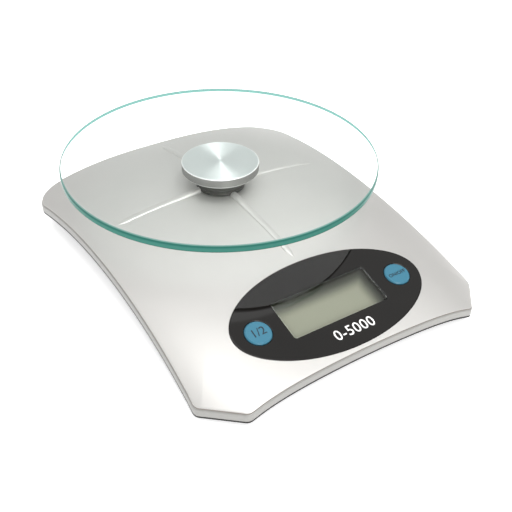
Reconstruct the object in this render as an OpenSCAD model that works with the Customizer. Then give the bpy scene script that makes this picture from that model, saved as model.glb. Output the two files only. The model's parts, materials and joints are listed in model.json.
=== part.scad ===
// Digital kitchen scale: a round glass platter on an aluminium disc, over a crowned silver body.
// The origin is on the table, under the middle of the whole outline. +Y is the rear, +Z is up.
// Sizes along Y are measured from the axis of the hub, unless they say otherwise.

/* [Platter] */
// Height of the glass over the table
overall_h = 54; // [53:0.5:58]
// Diameter of the glass
glass_d = 170; // [160:1:180]
// Thickness of the glass
glass_t = 4; // [3.5:0.1:4.2]
// Diameter of the aluminium disc under the glass
disc_d = 42; // [36:0.5:60]
// Thickness of the disc
disc_t = 5; // [4:0.1:5.2]
// Bevel round the disc's edges
disc_bevel = 0.4; // [0.1:0.1:0.8]
// Radius of the post that carries the disc
spigot_r = 9; // [7:0.1:9.2]
// Radius of the post's flange under the disc
spigot_flange_r = 11; // [10:0.1:14]
// Thickness of that flange
spigot_flange_t = 1.8; // [1:0.1:2]

/* [Body outline] */
// From the hub's axis to the front edge
front_l = 132.4; // [128:0.2:138]
// From the hub's axis to the middle of the rear edge
rear_l = 79.6; // [77:0.2:82]
// Width at the waist
waist_w = 161.1; // [158:0.1:166]
// Place of the waist behind the hub's axis
waist_y = -32.9; // [-45:0.1:-20]
// Radius of the long hollow sides
side_r = 1570; // [1200:10:3000]
// Length of a front chamfer along the side
chamfer_l = 17.9; // [12:0.1:20]
// Length of a front chamfer along the front
chamfer_w = 16.8; // [12:0.1:20]
// Reach of the rounding on each side of a chamfer's corner
chamfer_round = 2.4; // [0.5:0.1:4]
// Depth of the hollow front edge
front_sag = 2.9; // [1:0.1:4]
// Radius of the bowed rear edge
rear_r = 602; // [450:1:1200]
// Radius of the rear corners
corner_r = 20.3; // [16:0.1:24]

/* [Crown] */
// Height of the crown over the table
crown_h = 35.1; // [34.5:0.1:36]
// Place of the crown's highest line behind the hub's axis
crown_y = -3.6; // [-8:0.1:0]
// Radius of the crown toward the front
crown_front_r = 388; // [370:1:420]
// Radius of the crown toward the rear
crown_rear_r = 315; // [290:1:400]
// Fall of the crown's sides at the hub
side_drop = 10.7; // [9.5:0.1:11.5]
// Extra fall of the sides near the front
side_drop_more = 1.8; // [0:0.1:2]
// Power of the sides' curve at the hub
side_power = 2.75; // [2.4:0.05:3.5]
// Extra power near the front
side_power_more = 2.2; // [1:0.05:2.5]

/* [Shells] */
// Thickness of the cover plate
cover_t = 0.8; // [0.5:0.1:1]
// Film of glue under the cover plate
glue_t = 0.05; // [0.03:0.01:0.1]
// Step from the housing's outline in to the cover plate
cover_step = 0.4; // [0.2:0.1:1]
// Height of the ribs over the cover plate
rib_h = 1.2; // [0.6:0.1:2]
// Width of a rib at the hub
rib_w = 5.5; // [3:0.1:7]
// Width of a rib at its tip
rib_tip_w = 1.6; // [0.8:0.1:3]
// Reach of the front rib
rib_front = 68.9; // [50:0.1:70]
// Reach of the side ribs
rib_side = 60.9; // [40:0.1:66]
// Reach of the rear rib
rib_rear = 70; // [50:0.1:72]
// Thickness of the upper housing's roof
roof_t = 2; // [1.6:0.1:2]
// Thickness of the upper housing's wall
wall_t = 2.2; // [1.8:0.1:3]
// Depth of the band below the crown, cover plate included
band_h = 4.8; // [4.6:0.1:5.4]
// Height of the lower housing's rim under the band
rim_t = 0.8; // [0.6:0.1:1.2]
// Height of the tongue that locates the lower housing
tongue_h = 1.6; // [1:0.1:1.7]
// Gap between tongue and wall
tongue_gap = 0.15; // [0.1:0.05:0.4]

/* [Base] */
// Width of the base under the body
base_w = 112; // [110:0.5:118]
// From the hub's axis to the front of the base
base_front = 120; // [119.5:0.5:122]
// From the hub's axis to the rear of the base
base_rear = 66; // [66:0.5:70]
// Radius of the base's corners
base_corner_r = 12; // [6:0.5:14]
// Thickness of the base's walls
base_wall = 2; // [1.6:0.1:2.2]
// Thickness of the floor
floor_t = 2; // [1.8:0.1:2.2]
// Height of the floor over the table
foot_h = 1.5; // [1.2:0.1:1.8]
// Diameter of a foot
foot_d = 14; // [10:0.5:15]
// Depth of a foot's seat in the floor
foot_seat = 1; // [0.6:0.1:1.2]
// From the base's side to the middle of a foot
foot_side_inset = 10; // [8.5:0.5:16]
// From the base's front or rear to the middle of a foot
foot_end_inset = 11; // [8.5:0.5:16]
// Height of the housing screws' posts over the floor
post_h = 4.5; // [3.5:0.1:6]
// Radius of those posts
post_r = 4; // [3.5:0.1:4.5]
// Places of the housing screws along the base
post_front = -68; // [-76:0.5:-60]
post_mid = -20; // [-40:0.5:0]
post_rear = 27; // [20:0.5:28]
// Radius of a housing screw
housing_screw_r = 1.45; // [1.2:0.05:1.8]
// Length of a housing screw under its head
housing_screw_l = 12; // [9:0.5:14]

/* [Display panel] */
// Place of the panel's middle in front of the hub's axis
panel_front = 100.6; // [99.5:0.1:102]
// Slope of the panel
panel_tilt = 14.14; // [13.5:0.05:14.5]
// Depth of the panel's middle under the crown
panel_sink = 0.9; // [0.8:0.1:1.1]
// From a button's middle to the end of the oval panel
panel_end = 12.6; // [11:0.1:15]
// Width of the oval panel
panel_w = 54.7; // [52:0.1:56]
// Thickness of the panel
panel_t = 2.2; // [2:0.1:2.2]
// Gap round the panel
panel_gap = 0.2; // [0.1:0.05:0.4]
// Length of the window
window_l = 55.4; // [50:0.2:55.6]
// Width of the window
window_w = 22.2; // [19:0.2:22.4]
// Radius of the window's corners
window_corner_r = 1.4; // [0.8:0.1:2]
// Rebate behind the window's edge
window_rebate = 1.2; // [0.8:0.1:1.6]
// Thickness of the rebate's flange
window_flange_t = 0.8; // [0.6:0.1:1]

/* [Display] */
// Reach of the display glass past the window, along it
lcd_lap_l = 1.3; // [0.8:0.1:2]
// Reach of the display glass past the window, across it
lcd_lap_w = 1.4; // [0.8:0.1:2]
// Thickness of the display glass
lcd_t = 2.6; // [1.8:0.1:2.8]
// Depth of the display glass under the panel's face
lcd_depth = 4.2; // [2.8:0.1:4.4]
// Width of the frame's wall round the display
lcd_frame_wall = 2; // [1.5:0.1:2.4]
// Height of the contact strips under the display glass
zebra_h = 3.8; // [3.6:0.1:4]
// Reach of the board past a button's middle
board_end = 4.5; // [3.5:0.1:6]
// Width of the board
board_w = 34; // [33:0.5:35]
// Thickness of the board
board_t = 1.6; // [1:0.1:1.6]
// From the board's long edge to its screws
board_screw_inset = 4; // [3:0.1:4.4]

/* [Buttons] */
// Diameter of a button
button_d = 13; // [11:0.1:13.4]
// From the window's end to a button's middle
button_to_window = 13.8; // [13.6:0.1:16]
// Height of a button over the panel's face
button_rise = 0.6; // [0.2:0.1:1]
// Gap round a button
button_gap = 0.35; // [0.3:0.05:0.5]
// Width of the flange that keeps a button in
button_flange = 0.9; // [0.6:0.1:0.9]
// Radius of a button's stem
stem_r = 2; // [1.6:0.1:2.4]
// Running gap round a stem and round a switch's plunger
slide_gap = 0.06; // [0.03:0.01:0.1]
// Travel of a button
button_travel = 0.5; // [0.3:0.1:0.6]
// Side of a switch's square base
switch_w = 6; // [5:0.1:6.4]
// Height of a switch's base
switch_h = 3.4; // [3:0.1:3.4]
// Radius of a switch's plunger
plunger_r = 1.7; // [1.2:0.1:2]

/* [Load cell] */
// Length of the load cell
cell_l = 80; // [76:0.5:80]
// Width and height of the load cell
cell_w = 12.7; // [12:0.1:12.8]
// From the hub's axis to the load cell's free end
cell_end = 7; // [6:0.1:8]
// Radius of the two bores that make the cell bend
cell_bore_r = 4.4; // [3.5:0.1:4.8]
// Distance between those two bores
cell_bore_pitch = 14; // [12:0.5:16]
// Distance between the two screws at the fixed end
cell_screw_pitch = 12; // [10:0.5:13]
// Height of the spacer under the fixed end
spacer_h = 3.5; // [2:0.1:4]
// Height of the overload stop over the floor
stop_h = 2.1; // [1.5:0.1:2.5]
// Travel of the platter
press_travel = 0.8; // [0.4:0.1:1]

/* [Batteries] */
// Diameter of a AAA cell
battery_d = 10.5; // [10.2:0.1:10.6]
// Length of a AAA cell with its nub
battery_l = 44.5; // [44:0.1:44.6]
// Distance between the two cells
battery_pitch = 12; // [11.5:0.1:12.4]
// Length of a contact spring with the cell in place
spring_l = 5.5; // [4:0.1:6]
// Room round the two cells in the bay
bay_room = 1.25; // [0.8:0.05:1.5]
// Thickness of the bay's walls
bay_wall = 1.6; // [1.2:0.1:1.8]
// Thickness of the battery door
door_t = 1.8; // [1.5:0.1:1.8]
// Width of the tongues along the door's sides
door_tongue = 1; // [0.6:0.1:1.4]
// Sliding gap round the door
door_gap = 0.15; // [0.1:0.05:0.3]

/* [Hidden] */
$fn = 64;
far = 200;
tiny = 0.01;
hub_y = (front_l - glass_d / 2) / 2;
disc_z = overall_h - glass_t - disc_t;

// Reference lengths of the crown's formula, and the number of its cells
crown_ref_w = 84;
crown_ref_l = 115;
crown_half_w = 90;
crown_count_x = 9;
crown_count_y = 18;

// The hub's collar: two rings on the roof, and a neck through it
collar_neck_r = spigot_r + 2;
collar_low_r = collar_neck_r + 1.4;
collar_high_r = collar_low_r + 1;
collar_gap = 0.8;
collar_head_gap = 3.7;
collar_z = crown_h - cover_t + 0.05;
collar_top = disc_z - collar_head_gap;
collar_mid = collar_z + 0.6 * (collar_top - collar_z);

button_x = window_l / 2 + button_to_window;
button_y = -0.8;
panel_l = 2 * (button_x + panel_end);
panel_y = -panel_front;
panel_z = crown_height(0, panel_y) - panel_sink;
tray_wall = 1.6;
tray_floor = 1.2;
tray_rim = 0.2;
tray_gap = 0.1;
tray_clearance = 0.2;
panel_rim_gap = 0.05;
lcd_l = window_l + 2 * lcd_lap_l;
lcd_w = window_w + 2 * lcd_lap_w;
board_depth = lcd_depth + lcd_t + zebra_h;
board_l = 2 * (button_x + board_end);
board_screw_x = button_x + 0.5;
board_screw_y = board_w / 2 - board_screw_inset;
flange_t = 0.75;
flange_play = 0.05;
cap_bottom = -panel_t - flange_play - flange_t;
well_depth = button_travel - cap_bottom + 0.9;
well_floor = 1.8;
plunger_rise = 0.9;
plunger_l = 1.6;
plunger_bore_l = plunger_l - plunger_rise + button_travel + 1.2;
switch_z = -board_depth + switch_h;
stem_bottom = switch_z + plunger_rise;

floor_z = foot_h + floor_t;
hub_screw_r = 2.5;
hub_head_r = 4.2;
hub_head_h = 3;
hub_screw_play = 0.1;
stop_gap = 0.1;
stop_r = 5;
cell_z = floor_z + stop_h + stop_gap + press_travel + hub_head_h;
cell_seat_z = cell_z - spacer_h;
cell_mid_y = cell_end - cell_l / 2;
cell_screw_y = [cell_end - cell_l + 5, cell_end - cell_l + 5 + cell_screw_pitch];
cell_screw_r = 2;
cell_head_r = 3.8;
cell_head_h = 2.4;
cell_head_z = foot_h + 2.9;

foot_x = base_w / 2 - foot_side_inset;
foot_front = foot_end_inset - base_front;
foot_rear = base_rear - foot_end_inset;
post_x = base_w / 2 - base_wall - post_r;
post_xy = [for (y = [post_front, post_mid, post_rear], x = [-post_x, post_x]) [x, y]];
post_z = floor_z + post_h;
housing_seat_z = post_z - 3;
housing_screw_top = housing_seat_z + housing_screw_l;
housing_head_r = 2.8;
housing_head_h = 2.2;
board_screw_r = 1.1;
board_head_r = 2.1;
board_head_h = 1.4;
lead_r = 0.45;

plate_t = 0.4;
nub_r = 1.9;
nub_l = 1.2;
bay_l = battery_l + spring_l + 2 * plate_t;
bay_w = battery_pitch + battery_d + 2 * bay_room;
bay_y = base_rear - base_wall - bay_w / 2 - 1.5;
battery_z = floor_z + 0.45 + battery_d / 2;
bay_top = battery_z + battery_d / 2 + 0.75;
door_half_w = bay_l / 2 + 0.3;
door_front = bay_y - bay_w / 2 - bay_wall + 0.2;

function front_share(y) = pow(min(y, 0) / crown_ref_l, 2);

// Height of the crowned surface over the table
function crown_height(x, y) =
    let (r = y < crown_y ? crown_front_r : crown_rear_r)
    let (fall = side_drop + side_drop_more * front_share(y))
    let (power = side_power + side_power_more * front_share(y))
    crown_h - pow(y - crown_y, 2) / (2 * r) - fall * pow(abs(x) / crown_ref_w, power);

function side_x(y) = waist_w / 2 + pow(y - waist_y, 2) / (2 * side_r);
function rear_y(x) = rear_l - x * x / (2 * rear_r);

// A rounded corner at p, between the unit directions a and b of its two sides
function bend(p, a, b) = [for (i = [0:4]) let (t = i / 4)
    p + chamfer_round * (pow(1 - t, 2) * a + t * t * b)];

// The right half of the body's outline, moved in by an inset, from the front's middle to the rear's
function half_outline(inset) =
    let (turn = atan2(chamfer_w, chamfer_l))
    let (side_y = chamfer_l - front_l)
    let (front_x = side_x(side_y) - chamfer_w)
    let (low = [front_x - inset * tan((90 - turn) / 2), inset - front_l])
    let (high = [side_x(side_y) - inset, side_y + inset * tan(turn / 2)])
    let (slope = [-front_x, 2 * front_sag] / norm([front_x, 2 * front_sag]))
    let (up = unit(high - low))
    let (straight = high.y + chamfer_round)
    let (from = atan2(waist_y - rear_l + corner_r, side_r))
    let (to = 90 - asin((waist_w / 2 - corner_r) / rear_r))
    let (rough_y = rear_y(waist_w / 2 - corner_r) - corner_r * sin(to))
    let (mid_x = side_x(rough_y) - corner_r * cos(from))
    let (mid_y = rear_y(mid_x + corner_r * cos(to)) - corner_r * sin(to))
    let (r = corner_r - inset)
    let (end_y = mid_y + r * sin(from))
    let (end_x = mid_x + r * cos(to))
    let (front_end = low.x + chamfer_round * slope.x)
    concat(
        [for (i = [0:5]) let (x = front_end * i / 6)
            [x, front_sag * (1 - pow(x / front_x, 2)) - front_l + inset]],
        bend(low, slope, up),
        bend(high, -up, [0, 1]),
        [for (i = [1:12]) let (y = straight + (end_y - straight) * i / 12) [side_x(y) - inset, y]],
        [for (i = [1:9]) let (a = from + (to - from) * i / 9) [mid_x + r * cos(a), mid_y + r * sin(a)]],
        [for (i = [1:6]) let (x = end_x * (1 - i / 6)) [x, rear_y(x) - inset]]);

function body_outline(inset) =
    let (half = half_outline(inset))
    concat(half, [for (i = [len(half) - 2:-1:1]) [-half[i].x, half[i].y]]);

function ellipse(length, width, n = 72) = [for (i = [0:n - 1]) [length / 2 * cos(360 * i / n),
    width / 2 * sin(360 * i / n)]];

function unit(v) = v / norm(v);
function along(path, i) = unit(path[min(i + 1, len(path) - 1)] - path[max(i - 1, 0)]);

// A smooth path through given points
function smooth(points, steps = 5) =
    let (last = len(points) - 1)
    concat([for (i = [0:last - 1], s = [0:steps - 1])
        let (t = s / steps)
        let (a = points[max(i - 1, 0)])
        let (b = points[i])
        let (c = points[i + 1])
        let (d = points[min(i + 2, last)])
        b + t / 2 * (c - a + t * (2 * a - 5 * b + 4 * c - d + t * (3 * b - a - 3 * c + d)))],
        [points[last]]);

module at_hub() {
    translate([0, hub_y, 0])
        children();
}

// The panel's frame: its origin is in the middle of the panel's face, and +Z is the face's normal
module on_panel() {
    at_hub()
        translate([0, panel_y, panel_z])
            rotate([panel_tilt, 0, 0])
                children();
}

module at_buttons() {
    for (x = [-button_x, button_x])
        translate([x, button_y, 0])
            children();
}

module at_board_screws() {
    for (x = [-board_screw_x, board_screw_x], y = [-board_screw_y, board_screw_y])
        translate([x, y, 0])
            children();
}

module at_posts() {
    for (p = post_xy)
        translate([p.x, p.y, 0])
            children();
}

module at_feet() {
    for (x = [-foot_x, foot_x], y = [foot_front, foot_rear])
        translate([x, y, 0])
            children();
}

module block(from, to) {
    translate(from)
        cube(to - from);
}

module disc(r, from, to) {
    translate([0, 0, from])
        cylinder(h = to - from, r = r);
}

module oval(length, width, from, to) {
    translate([0, 0, from])
        linear_extrude(to - from)
            polygon(ellipse(length, width));
}

module body_prism(inset) {
    translate([0, 0, -1])
        linear_extrude(overall_h)
            polygon(body_outline(inset));
}

// Everything below the crowned surface, which is first lowered by drop
module under_crown(drop) {
    nx = 2 * crown_count_x;
    ny = crown_count_y;
    rear = rear_l + 4;
    front = -front_l - 4;
    bottom = -10;
    top = [for (i = [0:nx], j = [0:ny])
        let (x = crown_half_w * sin(90 * (i / crown_count_x - 1)))
        let (y = front + (rear - front) * j / ny)
        [x, y, crown_height(x, y) - drop]];
    corners = [for (p = [[-1, front], [1, front], [1, rear], [-1, rear]])
        [p[0] * crown_half_w, p[1], bottom]];
    row = ny + 1;
    base = len(top);
    surface = [for (i = [0:nx - 1], j = [0:ny - 1], half = [0, 1])
        let (a = i * row + j)
        let (left = i < crown_count_x)
        half == 0
            ? (left ? [a, a + 1, a + row] : [a, a + 1, a + row + 1])
            : (left ? [a + 1, a + row + 1, a + row] : [a, a + row + 1, a + row])];
    sides = [
        concat([base + 3], [for (j = [ny:-1:0]) j], [base]),
        concat([base + 1], [for (j = [0:ny]) nx * row + j], [base + 2]),
        concat([base], [for (i = [0:nx]) i * row], [base + 1]),
        concat([base + 2], [for (i = [nx:-1:0]) i * row + ny], [base + 3]),
        [base, base + 1, base + 2, base + 3]];
    polyhedron(concat(top, corners), concat(surface, sides));
}

// A round wire along a path
module wire(path, r, up = [0.1, 0.2, 1], sides = 8) {
    n = len(path);
    points = [for (i = [0:n - 1])
        let (u = unit(cross(along(path, i), up)))
        let (v = cross(along(path, i), u))
        for (k = [0:sides - 1])
            path[i] + r * (cos(360 * k / sides) * u + sin(360 * k / sides) * v)];
    skin = [for (i = [0:n - 2], k = [0:sides - 1])
        let (a = i * sides + k)
        let (b = i * sides + (k + 1) % sides)
        [b, a, a + sides, b + sides]];
    ends = [[for (k = [0:sides - 1]) k], [for (k = [sides - 1:-1:0]) (n - 1) * sides + k]];
    polyhedron(points, concat(skin, ends));
}

module glass_plate() {
    color([0.75, 0.9, 0.86, 0.4])
        at_hub()
            disc(glass_d / 2, overall_h - glass_t, overall_h);
}

module hub_disc() {
    r = disc_d / 2;
    color("silver")
        at_hub()
            difference() {
                translate([0, 0, disc_z])
                    rotate_extrude()
                        polygon([[0, 0], [r - disc_bevel, 0], [r, disc_bevel],
                            [r, disc_t - disc_bevel], [r - disc_bevel, disc_t], [0, disc_t]]);
                disc(hub_screw_r, disc_z - 1, disc_z + disc_t - 1.2);
            }
}

module hub_spigot() {
    foot = cell_z + cell_w;
    color([0.25, 0.25, 0.23])
        at_hub()
            difference() {
                union() {
                    disc(spigot_r, foot, disc_z - spigot_flange_t + tiny);
                    disc(spigot_flange_r, disc_z - spigot_flange_t, disc_z);
                }
                disc(hub_screw_r + hub_screw_play, foot - 1, disc_z + 1);
            }
}

module hub_screw() {
    color("gray")
        at_hub()
            difference() {
                union() {
                    disc(hub_head_r, cell_z - hub_head_h, cell_z);
                    disc(hub_screw_r, cell_z - tiny, disc_z + disc_t - 1.5);
                }
                translate([0, 0, cell_z - hub_head_h - 1])
                    cylinder(h = 2.8, r = 2.2, $fn = 6);
            }
}

module hub_collar() {
    color([0.3, 0.3, 0.27])
        at_hub()
            difference() {
                union() {
                    disc(collar_neck_r - 0.1, collar_z - roof_t - 0.5, collar_z + tiny);
                    disc(collar_low_r, collar_z, collar_mid + tiny);
                    disc(collar_high_r, collar_mid, collar_top);
                }
                disc(spigot_r + collar_gap, 0, far);
            }
}

module ribs() {
    start = collar_low_r + 0.4;
    for (rib = [[0, rib_side], [180, rib_side], [90, rib_rear], [-90, rib_front]])
        rotate(rib[0])
            polygon([[start, -rib_w / 2], [rib[1], -rib_tip_w / 2],
                [rib[1], rib_tip_w / 2], [start, rib_w / 2]]);
}

module top_plate() {
    color([0.78, 0.77, 0.74])
        difference() {
            at_hub()
                difference() {
                    union() {
                        intersection() {
                            body_prism(cover_step);
                            under_crown(0);
                        }
                        intersection() {
                            linear_extrude(far)
                                ribs();
                            under_crown(-rib_h);
                        }
                    }
                    under_crown(cover_t);
                    disc(collar_low_r + 0.2, 0, far);
                }
            on_panel()
                oval(panel_l + 2 * panel_gap, panel_w + 2 * panel_gap, -5, 8);
        }
}

module upper_housing() {
    hole = tray_wall + tray_gap;
    color([0.74, 0.74, 0.71])
        difference() {
            at_hub()
                difference() {
                    union() {
                        difference() {
                            intersection() {
                                body_prism(0);
                                under_crown(cover_t + glue_t);
                            }
                            intersection() {
                                body_prism(wall_t);
                                under_crown(cover_t + roof_t);
                            }
                            under_crown(band_h);
                        }
                        intersection() {
                            at_posts()
                                disc(post_r, post_z, far / 4);
                            under_crown(cover_t + roof_t / 2);
                        }
                    }
                    disc(collar_neck_r, 0, far);
                    at_posts()
                        disc(housing_screw_r, post_z - 1, housing_screw_top + 0.5);
                }
            on_panel()
                oval(panel_l + 2 * hole, panel_w + 2 * hole, -well_depth - well_floor - 1, 8);
        }
}

module panel_tray() {
    opening_l = lcd_l / 2 + lcd_frame_wall + 0.2;
    opening_w = lcd_w / 2 + lcd_frame_wall + 0.2;
    color([0.16, 0.16, 0.16])
        on_panel()
            difference() {
                union() {
                    oval(panel_l + 2 * tray_wall, panel_w + 2 * tray_wall,
                        -panel_t - tray_floor, -panel_t + tray_rim);
                    at_buttons()
                        disc(button_d / 2 + 3, -well_depth - well_floor, -panel_t);
                    at_board_screws()
                        disc(3, -board_depth, -panel_t);
                }
                oval(panel_l + 2 * panel_gap, panel_w + 2 * panel_gap, -panel_t, 8);
                block([-opening_l, -opening_w, -far / 8], [opening_l, opening_w, 1]);
                at_buttons() {
                    disc(button_d / 2 + 1.5, -well_depth, 1);
                    disc(stem_r + slide_gap, -far / 8, 1);
                }
                at_board_screws()
                    disc(board_screw_r, -board_depth - 1, -panel_t - 0.8);
            }
}

module base_prism(inset) {
    r = base_corner_r - inset;
    x = base_w / 2 - base_corner_r;
    front = base_corner_r - base_front;
    rear = base_rear - base_corner_r;
    for (side = [-1, 1], y = [front, rear])
        translate([side * x, y, 0])
            disc(r, 0, far / 4);
    block([-x - r, front, 0], [x + r, rear, far / 4]);
    block([-x, front - r, 0], [x, rear + r, far / 4]);
}

module battery_bay() {
    half_l = bay_l / 2 + bay_wall;
    block([-half_l, bay_y - bay_w / 2 - bay_wall, floor_z - tiny],
        [half_l, base_rear - base_wall + tiny, bay_top + bay_wall]);
}

module door_track() {
    w = door_half_w + door_gap;
    top = foot_h + door_t + door_gap;
    mid = foot_h + door_t / 2;
    block([-w, door_front - 0.2, 0], [w, far, top]);
    block([-w - door_tongue, door_front + 1.8, mid - 0.4], [w + door_tongue, far, mid + 0.4]);
    block([-bay_l / 2, bay_y - bay_w / 2, 0], [bay_l / 2, bay_y + bay_w / 2, bay_top]);
    for (y = [-battery_pitch / 2, battery_pitch / 2])
        block([bay_l / 2 - plate_t - 0.1, bay_y + y - 2.2, bay_top - 1],
            [bay_l / 2, bay_y + y + 2.2, far]);
}

module screw_seats() {
    at_posts() {
        disc(housing_head_r + 0.3, 0, housing_seat_z);
        disc(housing_screw_r + 0.2, 0, post_z + 1);
    }
    for (y = cell_screw_y)
        translate([0, y, 0]) {
            disc(cell_head_r + 0.3, 0, cell_head_z);
            disc(cell_screw_r + 0.15, 0, far);
        }
}

module lower_shell() {
    rim_z = band_h + rim_t;
    tongue_z = band_h - tongue_h;
    difference() {
        intersection() {
            body_prism(cover_step);
            under_crown(tongue_z);
            block([-far, -far, foot_h], [far, far, far]);
        }
        difference() {
            under_crown(rim_z);
            base_prism(0);
        }
        difference() {
            body_prism(-1);
            body_prism(wall_t + tongue_gap);
            under_crown(band_h);
        }
        intersection() {
            base_prism(base_wall);
            disc(far, floor_z, far);
        }
    }
}

module lower_bosses() {
    battery_bay();
    block([-cell_w / 2 - 2, cell_screw_y[0] - 6, floor_z - tiny],
        [cell_w / 2 + 2, cell_screw_y[1] + 6, cell_seat_z]);
    disc(stop_r, floor_z - tiny, cell_z - hub_head_h - press_travel - stop_gap);
    at_posts()
        disc(post_r, floor_z - tiny, post_z);
}

module lower_housing() {
    clear = tray_wall + tray_clearance;
    color([0.2, 0.2, 0.2])
        difference() {
            at_hub()
                difference() {
                    union() {
                        lower_shell();
                        lower_bosses();
                    }
                    door_track();
                    screw_seats();
                    at_feet()
                        disc(foot_d / 2, 0, foot_h + foot_seat);
                }
            on_panel()
                oval(panel_l + 2 * clear, panel_w + 2 * clear,
                    -panel_t - tray_floor - tray_clearance, 8);
        }
}

// A block as large as the window and its rounded corners, moved out by a reach
module over_window(reach, from, to) {
    r = window_corner_r + reach;
    x = window_l / 2 + reach;
    y = window_w / 2 + reach;
    for (i = [-1, 1], j = [-1, 1])
        translate([i * (x - r), j * (y - r), 0])
            disc(r, from, to);
    block([-x, r - y, from], [x, y - r, to]);
    block([r - x, -y, from], [x - r, y, to]);
}

module display_panel() {
    color([0.05, 0.05, 0.05])
        on_panel()
            difference() {
                oval(panel_l, panel_w, -panel_t, 0);
                over_window(0, -far / 8, 1);
                over_window(window_rebate, -far / 8, window_flange_t - panel_t);
                at_buttons()
                    disc(button_d / 2 + button_gap, -far / 8, 1);
            }
}

module window_lens() {
    color([0.85, 0.9, 0.85, 0.5])
        on_panel() {
            over_window(-panel_rim_gap, -panel_t, 0);
            over_window(window_rebate - panel_rim_gap, -panel_t, window_flange_t - panel_t);
        }
}

module lcd_glass() {
    color([0.62, 0.64, 0.56])
        on_panel()
            block([-lcd_l / 2, -lcd_w / 2, -lcd_depth - lcd_t], [lcd_l / 2, lcd_w / 2, -lcd_depth]);
}

module lcd_frame() {
    x = lcd_l / 2 + 0.05;
    y = lcd_w / 2 + 0.05;
    wall = lcd_frame_wall - 0.05;
    shelf = -lcd_depth - lcd_t;
    color([0.2, 0.2, 0.17])
        on_panel()
            difference() {
                block([-x - wall, -y - wall, -board_depth], [x + wall, y + wall, -panel_t - 0.1]);
                block([-x, -y, shelf], [x, y, 1]);
                block([-x + 1.5, -y + 0.8, -far / 8], [x - 1.5, y - 0.8, 1]);
            }
}

module zebra_strips() {
    color("dimgray")
        on_panel()
            for (side = [-1, 1])
                translate([0, side * (lcd_w / 2 - 2), 0])
                    block([-lcd_l / 2 + 2, -1, -board_depth], [lcd_l / 2 - 2, 1, -lcd_depth - lcd_t]);
}

module main_board() {
    color("darkgreen")
        on_panel()
            difference() {
                block([-board_l / 2, -board_w / 2, -board_depth - board_t],
                    [board_l / 2, board_w / 2, -board_depth]);
                at_board_screws()
                    disc(board_screw_r + 0.1, -far / 8, 1);
            }
}

module board_chips() {
    under = -board_depth - board_t;
    color([0.1, 0.1, 0.1])
        on_panel() {
            translate([0, 4, 0])
                disc(6, under - 1.4, under);
            translate([-20, 6, 0])
                block([-2.5, -2, under - 1.5], [2.5, 2, under]);
            translate([17, 6, 0])
                block([-1.6, -4, under - 3], [1.6, 4, under]);
            for (x = [24, 29, -30, -34])
                translate([x, 5, 0])
                    disc(1.6, under - 3, under);
        }
}

module board_screws() {
    under = -board_depth - board_t;
    color("silver")
        on_panel()
            at_board_screws()
                difference() {
                    union() {
                        disc(board_head_r, under - board_head_h, under);
                        disc(board_screw_r, under - tiny, under + board_t + 5);
                    }
                    block([-3, -0.3, under - far / 8], [3, 0.3, under - board_head_h + 0.6]);
                }
}

module switch_bases() {
    w = switch_w / 2;
    color([0.15, 0.15, 0.15])
        on_panel()
            at_buttons()
                difference() {
                    block([-w, -w, -board_depth], [w, w, switch_z]);
                    disc(plunger_r + slide_gap, switch_z - plunger_bore_l, 1);
                }
}

// A round cap with a flange that keeps it behind the panel, and a stem that reaches the switch
module button() {
    r = button_d / 2;
    bevel = 0.5;
    translate([0, 0, cap_bottom + flange_t])
        cylinder(h = button_rise - cap_bottom - flange_t - bevel, r = r);
    translate([0, 0, button_rise - bevel - tiny])
        rotate_extrude()
            polygon([[0, 0], [r, 0], [r - bevel, bevel], [0, bevel]]);
    disc(r + button_flange, cap_bottom, cap_bottom + flange_t + tiny);
    disc(stem_r, stem_bottom, cap_bottom + tiny);
}

module plunger() {
    disc(plunger_r, stem_bottom - plunger_l, stem_bottom);
}

module unit_button() {
    color([0.3, 0.6, 0.75])
        on_panel()
            translate([-button_x, button_y, 0])
                button();
}

module unit_plunger() {
    color("black")
        on_panel()
            translate([-button_x, button_y, 0])
                plunger();
}

module power_button() {
    color([0.3, 0.6, 0.75])
        on_panel()
            translate([button_x, button_y, 0])
                button();
}

module power_plunger() {
    color("black")
        on_panel()
            translate([button_x, button_y, 0])
                plunger();
}

module load_cell() {
    mid_z = cell_z + cell_w / 2;
    color("lightgray")
        at_hub()
            difference() {
                block([-cell_w / 2, cell_end - cell_l, cell_z], [cell_w / 2, cell_end, cell_z + cell_w]);
                for (y = [-cell_bore_pitch / 2, cell_bore_pitch / 2])
                    translate([-cell_w, cell_mid_y + y, mid_z])
                        rotate([0, 90, 0])
                            cylinder(h = 2 * cell_w, r = cell_bore_r);
                block([-cell_w, cell_mid_y - cell_bore_pitch / 2, mid_z - 1.5],
                    [cell_w, cell_mid_y + cell_bore_pitch / 2, mid_z + 1.5]);
                for (y = cell_screw_y)
                    translate([0, y, 0])
                        disc(cell_screw_r, 0, far);
                disc(hub_screw_r + hub_screw_play, 0, far);
            }
}

module strain_gauges() {
    color("goldenrod")
        at_hub()
            for (y = [-cell_bore_pitch / 2, cell_bore_pitch / 2])
                translate([0, cell_mid_y + y, 0]) {
                    block([-3, -2.5, cell_z + cell_w], [3, 2.5, cell_z + cell_w + 0.5]);
                    block([-3, -2.5, cell_z - 0.5], [3, 2.5, cell_z]);
                }
}

module load_cell_spacer() {
    color("gray")
        at_hub()
            difference() {
                block([-cell_w / 2, cell_screw_y[0] - 5, cell_seat_z],
                    [cell_w / 2, cell_screw_y[1] + 5, cell_z]);
                for (y = cell_screw_y)
                    translate([0, y, 0])
                        disc(cell_screw_r + 0.15, 0, far);
            }
}

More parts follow.
